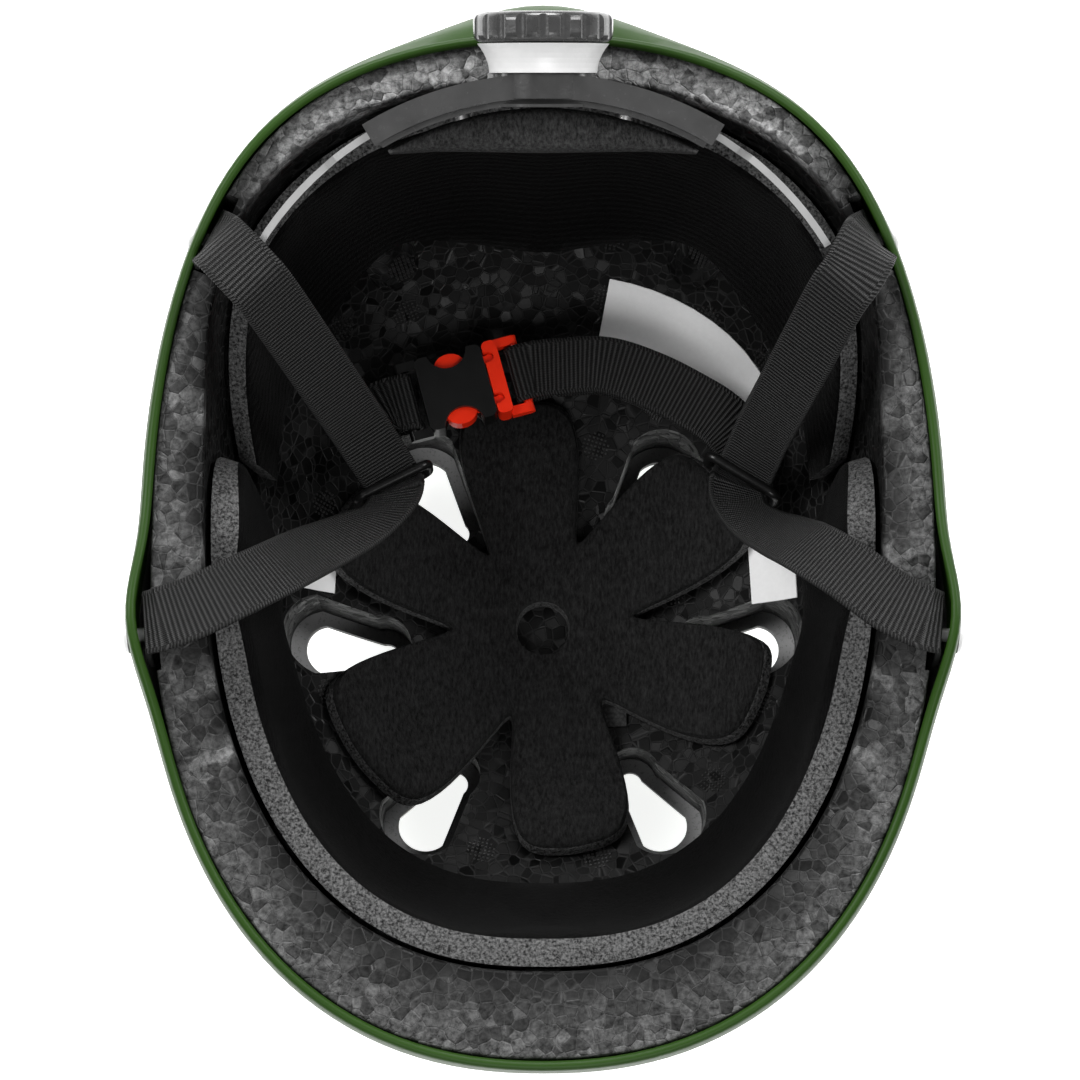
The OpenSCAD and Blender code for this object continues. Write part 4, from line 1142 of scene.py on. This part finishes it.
def strap(name, stations):
    rings, lengths, run = [], [], 0.0
    for i, station in enumerate(stations):
        here = Vector(station[:3])
        before = Vector(stations[max(0, i - 1)][:3])
        after = Vector(stations[min(len(stations) - 1, i + 1)][:3])
        run += (here - before).length
        forward = (after - before).normalized()
        flat = Vector((cos(station[3]), sin(station[3]), 0))
        side = (flat - flat.dot(forward) * forward).normalized()
        up = forward.cross(side)
        rings.append([here + side * x + up * y for x, y in STRAP_SECTION])
        lengths.append(run)
    piece = skin(name, rings, [webbing])
    strap_map = piece.data.uv_layers.new(name="strap")
    count = len(STRAP_SECTION)
    for loop in piece.data.loops:
        ring, place = divmod(loop.vertex_index, count)
        strap_map.data[loop.index].uv = (STRAP_SECTION[place][0], lengths[ring])
    crisp(piece, 60)
    print(name, "length in mm:", round(run))
    return piece


print("points in the strap's section:", len(STRAP_SECTION))

# %% [markdown]
# Each side strap is one length of webbing: rear rivet, over the foam, down through the ring and
# up to the temple rivet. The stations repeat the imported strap's route with more steps between.

# %% Where the side straps turn
WRAP_R = 1.3 + 0.3 + WEB_THICK / 2
RING_DROP = 5.2
WRAP_STEPS = 14
RING_LEFT, RING_LEFT_TURN = Vector((-41, 28, 60)), 27
RING_RIGHT, RING_RIGHT_TURN = Vector((54.5, 29.5, 60)), -32


def round_bar(bar, bar_turn, start, end):
    """Stations that turn round a bar, from one angle to another."""
    made = []
    for i in range(WRAP_STEPS + 1):
        t = start + (end - start) * i / WRAP_STEPS
        out, up = WRAP_R * cos(t), WRAP_R * sin(t)
        made.append([bar.x + out * sin(bar_turn), bar.y - out * cos(bar_turn), bar.z + up, bar_turn])
    return made


def wall_station(a, rise_over_rivet, turned):
    """A station in the pocket between shell and foam, some way above the rivet."""
    z = shell_edge(a) - RIVET_DROP + rise_over_rivet
    gap = STRAP_PLAY + (0 if sin(a) > 0 else FLARE_PLAY)
    r = shell_radius(a, z, SHELL_WALL) - gap - WEB_THICK / 2
    return [r * cos(a), r * sin(a), z, outline_facing(a) + 90 + turned]


print("a turn round a bar:", len(round_bar(RING_LEFT, 0, -30, -150)), "stations")

# %% [markdown]
# These are the four free stretches of the side straps, from the rim to the rings. Their stations
# are listed one by one, because only a person threading the straps decides how they lie.

# %% Side straps
LEFT_REAR = [[-81.8, 70.4, 148.6, 228], [-79, 67.2, 151, 224], [-74, 62, 150.4, 223],
             [-68.5, 56.8, 143, 222], [-58, 46.5, 112, 218], [-49, 38, 82, 212]]
LEFT_FRONT = [[-39.6, 24.4, 67.4, 206], [-42, 18, 74, 192], [-50, 9.5, 86, 162],
              [-60, 0.5, 103, 141], [-67.5, -7, 118, 134], [-78, -14.5, 127.5, 126],
              [-88, -19.8, 129.4, 119], [-96, -22.6, 129.2, 112]]
RIGHT_REAR = [[81.8, 70.4, 148.6, -48], [80, 66.5, 151, -43], [77, 61, 150.4, -42],
              [72.5, 55.5, 143, -41], [64, 43, 112, -39], [59, 37, 84, -36]]
RIGHT_FRONT = [[52.6, 26, 67.4, -31], [53, 19.5, 74, -12], [57, 11.5, 87, 14],
               [62.5, 4.5, 103, 33], [67.5, -1.5, 117.5, 42], [77, -10, 127.5, 50],
               [87, -18, 129.4, 60], [96, -22.4, 129.2, 68]]
RISES = (-7, -2.5, 2, 6.5, 11)
STRAP_PARTS = 8


def side_strap(name, rear, front, rear_turned, front_turned, rear_path, wrap, front_path):
    stations = [wall_station(rear, h, rear_turned) for h in RISES] + smooth(rear_path, STRAP_PARTS)
    stations += wrap + smooth(front_path, STRAP_PARTS)
    stations += [wall_station(front, h, front_turned) for h in reversed(RISES)]
    return strap(name, stations)


def top_bar(ring):
    return ring + Vector((0, 0, RING_DROP))


left_strap = side_strap("webbing_left", 180 - REAR_STRAP, 180 - FRONT_STRAP, 0, -180, LEFT_REAR,
                        round_bar(top_bar(RING_LEFT), RING_LEFT_TURN + 180, -30, -150), LEFT_FRONT)
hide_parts("side_strap_left")
right_strap = side_strap("webbing_right", REAR_STRAP, FRONT_STRAP, -180, 0, RIGHT_REAR,
                         round_bar(top_bar(RING_RIGHT), RING_RIGHT_TURN, 210, 330), RIGHT_FRONT)
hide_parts("side_strap_right")
print("side straps:", left_strap.name, right_strap.name)

# %% [markdown]
# The chin strap is in two parts that meet in the buckle. When the plug is drawn out, its part of
# the strap has to give.

# %% Chin straps
BUCKLE_AT, BUCKLE_TURN = Vector((-15, 58, 56)), 15
SOCKET_BAR, PLUG_BAR, BAR_LAP, LAYER, LAYER_PLAY = -23.7, 9.2, 7, WRAP_R, 0.4


def by_buckle(x, z):
    """A station some way along the buckle and above it."""
    return [BUCKLE_AT.x + x * cos(BUCKLE_TURN), BUCKLE_AT.y + x * sin(BUCKLE_TURN),
            BUCKLE_AT.z + z, BUCKLE_TURN + 90]


def by_ring(ring, turned, out, z):
    """A station beside a ring's lower bar."""
    return [ring.x - out * sin(turned), ring.y + out * cos(turned), ring.z - RING_DROP + z, turned]


def low_bar(ring):
    return ring - Vector((0, 0, RING_DROP))


print("the buckle's bars are", PLUG_BAR - SOCKET_BAR, "mm apart")

# %% [markdown]
# The left part is short and sewn: from the buckle's socket to the left ring, round both bars. The
# right part is the long one, which a wearer pulls tight, and its loose tail lies under it.

# %% The two parts of the chin strap
left_route = [by_buckle(SOCKET_BAR - 3.5, LAYER + LAYER_PLAY),
              [-45, 48.8, 59.3, 84], [-47.2, 43.2, 59.3, 62], [-46, 37, 58.6, 40],
              by_ring(RING_LEFT, RING_LEFT_TURN, 4.5, LAYER + LAYER_PLAY),
              by_ring(RING_LEFT, RING_LEFT_TURN, 1.5, LAYER)]
stations = [by_buckle(SOCKET_BAR - BAR_LAP, -LAYER), by_buckle(SOCKET_BAR - BAR_LAP / 2, -LAYER)]
stations += round_bar(Vector(by_buckle(SOCKET_BAR, 0)[:3]), BUCKLE_TURN + 90, -90, 90)
stations += smooth(left_route, 6) + round_bar(low_bar(RING_LEFT), RING_LEFT_TURN, 90, -90)
stations += [by_ring(RING_LEFT, RING_LEFT_TURN, 4, -LAYER)]
chin_left = strap("webbing_chin_left", stations)
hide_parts("chin_strap_left")

RIGHT_ROUTE = [[4, 61.4, 60.5, 98], [17, 61, 63.5, 86], [29, 57.2, 63.5, 68], [40, 51.8, 62.6, 50],
               [49, 46.2, 61.2, 28], [54.5, 39.6, 59.4, 2]]
stations = [by_buckle(PLUG_BAR + BAR_LAP, -LAYER), by_buckle(PLUG_BAR + BAR_LAP / 2, -LAYER)]
stations += round_bar(Vector(by_buckle(PLUG_BAR, 0)[:3]), BUCKLE_TURN + 90, 270, 90)
stations += smooth([by_buckle(PLUG_BAR + 3, LAYER)] + RIGHT_ROUTE
                   + [by_ring(RING_RIGHT, RING_RIGHT_TURN, 3.5, LAYER + LAYER_PLAY),
                      by_ring(RING_RIGHT, RING_RIGHT_TURN, 1.5, LAYER)], 7)
stations += round_bar(low_bar(RING_RIGHT), RING_RIGHT_TURN, 90, -90)
stations += [by_ring(RING_RIGHT, RING_RIGHT_TURN, 4, -LAYER)]
chin_right = strap("webbing_chin_right", stations)
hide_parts("chin_strap_right")

TAIL_GAP = WEB_THICK + 0.6
TAIL_TIP = [37, 51.4, 62, 60]
tail_route = [[x, y, z - TAIL_GAP, turned] for x, y, z, turned in RIGHT_ROUTE[:3] + [TAIL_TIP]]
chin_tail = strap("webbing_tail", smooth(tail_route, 7))
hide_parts("chin_strap_tail")
print("chin straps:", chin_left.name, chin_right.name, chin_tail.name)

# %% [markdown]
# Both right pieces belong to two bodies at once: the ring's end stays on the helmet and the other
# end rides on the plug. Here they are only taken off the helmet's body, and they keep their place.

# %% Right chin webbing taken off the helmet's body
for piece in (chin_right, chin_tail):
    piece.parent = None
    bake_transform(piece)
print("blended:", chin_right.name, chin_tail.name)

# %% [markdown]
# Moulded plastic is seldom one flat colour. It has slow flow marks, a fine pebble that the mould
# leaves, and a gloss that varies a little. One function makes all the plastics here, because they
# differ only in colour, gloss and coarseness.

# %% Moulded plastics
def moulded(name, dark, light, rough=0.35, coat=0.0, pebble=0.0008, depth=0.00004, shine=0.5):
    finish = Finish(name, Coat_Roughness=0.12, Specular_IOR_Level=shine)
    flow = finish.noise(0.006, 3)
    finish.set("Base Color", finish.mix(flow, dark, light))
    finish.set("Roughness", rough + 0.16 * finish.noise(0.002, 2))
    if coat:
        finish.set("Coat Weight", coat * (0.5 + flow))
    finish.set("Normal", finish.bump(finish.noise(pebble, 2) + flow * 0.8, depth, 0.8))
    return finish


DEEP_RED, BRIGHT_RED = (0.88, 0.020, 0.002, 1), (0.97, 0.032, 0.004, 1)
black_gloss = moulded("black_gloss", shade(0.003), shade(0.009), 0.24, 0.05, shine=0.3)
black_satin = moulded("black_satin", shade(0.022), shade(0.05), 0.17, 0.7, 0.0012, 0.00005)
arm_grey = moulded("arm_grey", shade(0.22), shade(0.34), 0.16, 0.6)
dial_grey = moulded("dial_grey", shade(0.020), shade(0.045), 0.2, 0.35, 0.002, 0.0001)
white_plastic = moulded("white_plastic", shade(0.58), shade(0.68), 0.3, 0.15)
pinion_plastic = moulded("pinion_plastic", shade(0.45), shade(0.55), 0.35)
red_plastic = moulded("red_plastic", DEEP_RED, BRIGHT_RED, 0.3, 0.08, shine=0.25)
rivet_cap = moulded("rivet_cap", shade(0.62), shade(0.78), 0.14, 0.5)

print("plastics ready")

# %% [markdown]
# Screws, washers and the click spring are steel. Hook tape is a field of tiny stiff hooks, so a
# cell pattern stands for them. The labels are paper, with fibres and a faint wave. The small pad
# at the nape is covered in a paler felt, which is the pads' cloth again with more light in it.

# %% Steel, hook tape, paper and felt
steel = Finish("steel", Metallic=1.0)
steel.set("Base Color", steel.mix(steel.noise(0.001, 3), shade(0.42), shade(0.62)))
steel.set("Roughness", 0.25 + 0.2 * steel.noise(0.0006, 3))

hook_tape = Finish("hook_tape", Roughness=0.85)
hooks = hook_tape.cells(0.0011, "Distance")
hook_tape.set("Base Color", hook_tape.mix(hooks, shade(0.03), shade(0.004)))
hook_tape.set("Normal", hook_tape.bump(1 - hooks, 0.0006, 1.0))

paper = Finish("label_paper")
fibres = paper.noise(0.0012, 4)
paper.set("Base Color", paper.mix(fibres * 0.6 + paper.noise(0.02) * 0.4, shade(0.72), shade(0.86)))
paper.set("Roughness", 0.5 + 0.15 * fibres)
paper.set("Normal", paper.bump(paper.noise(0.006, 2), 0.0002, 0.5))

felt = pile_cloth("nape_felt", light=0.1)
print("small finishes ready")

# %% [markdown]
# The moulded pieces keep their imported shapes, because those are right. Each gets its own plastic
# or metal, and a small bevel where it is rigid, since no moulded corner is perfectly sharp.

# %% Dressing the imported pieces
DRESS = {
    black_gloss: ("strap_ring_left", "strap_ring_right", "buckle_socket"),
    black_satin: ("yoke_channel", "yoke_cover", "cradle_hanger", "hanger_stud"),
    arm_grey: ("fit_arm_left", "fit_arm_right"),
    dial_grey: ("fit_dial",),
    white_plastic: ("dial_collar",),
    pinion_plastic: ("dial_pinion",),
    red_plastic: ("buckle_plug", "buckle_prong_rear", "buckle_prong_front"),
    rivet_cap: ("strap_rivets",),
    steel: ("rivet_washers", "cover_screws", "dial_screw", "click_spring"),
    hook_tape: ("hook_patches",),
    paper: ("blank_labels",),
}
BEVELLED = ("yoke_channel", "yoke_cover", "cradle_hanger", "buckle_socket", "buckle_plug",
            "buckle_prong_rear", "buckle_prong_front", "fit_arm_left", "fit_arm_right")


def soften(node):
    bevel = node.modifiers.new("soften", "BEVEL")
    bevel.width = 0.35 * MM
    bevel.segments = 2
    bevel.angle_limit = math.radians(40)
    bevel.harden_normals = True


for finish, names in DRESS.items():
    for name in names:
        node = nodes[name]
        node.data.materials.clear()
        node.data.materials.append(finish.material)
        crisp(node, 30)
        if name in BEVELLED:
            soften(node)
print("dressed:", sum(len(names) for names in DRESS.values()))

# %% [markdown]
# The small crescent pad at the nape sits under the yoke and leans with it. It is drawn about the
# middle of the cradle's arc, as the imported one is, from rounded boxes that grow thicker towards
# the middle, and then it swells like the others.

# %% Nape pad
ARC_R, LEAN = 84, 20
YOKE = Vector((0, bowl_reach(90) - 7.5, NAPE_EDGE + 13.2))
CRADLE = Matrix.Translation(YOKE) @ turn("X", LEAN) @ Matrix.Translation((0, -ARC_R, 0))
NAPE_OUT, NAPE_LOW, NAPE_HIGH, NAPE_THICK, NAPE_HALF = 78.6, -18, -6, 10, 30
NAPE_STEPS, NAPE_ROUND, NAPE_HELD, NAPE_POWER = 40, 24, 4, 0.7


def squared(share):
    """Fills out a sine or cosine, so that a circle drawn with it turns into a rounded box."""
    return math.copysign(abs(share) ** NAPE_POWER, share)


def nape_section(a):
    thick = 1 + NAPE_THICK * cos(a / NAPE_HALF * 88)
    ring = []
    for k in range(NAPE_ROUND):
        t = 360 / NAPE_ROUND * k
        r = NAPE_OUT - thick * (0.5 - 0.5 * squared(cos(t)))
        z = NAPE_LOW + (NAPE_HIGH - NAPE_LOW) * (0.5 + 0.5 * squared(sin(t)))
        ring.append(CRADLE @ Vector((-r * sin(a), r * cos(a), z)))
    return ring


nape_rings = [nape_section(i * NAPE_HALF / NAPE_STEPS) for i in range(-NAPE_STEPS, NAPE_STEPS + 1)]
nape = skin("nape_pad_foam", nape_rings, [felt])
all_round = [(k, k % NAPE_ROUND) for k in range(len(nape.data.vertices))]
held = [k for k, place in all_round if place < NAPE_HELD or place > NAPE_ROUND - NAPE_HELD]
swell(nape, held, 0.0006)
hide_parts("nape_pad")
print("nape pad sections:", len(nape_rings))
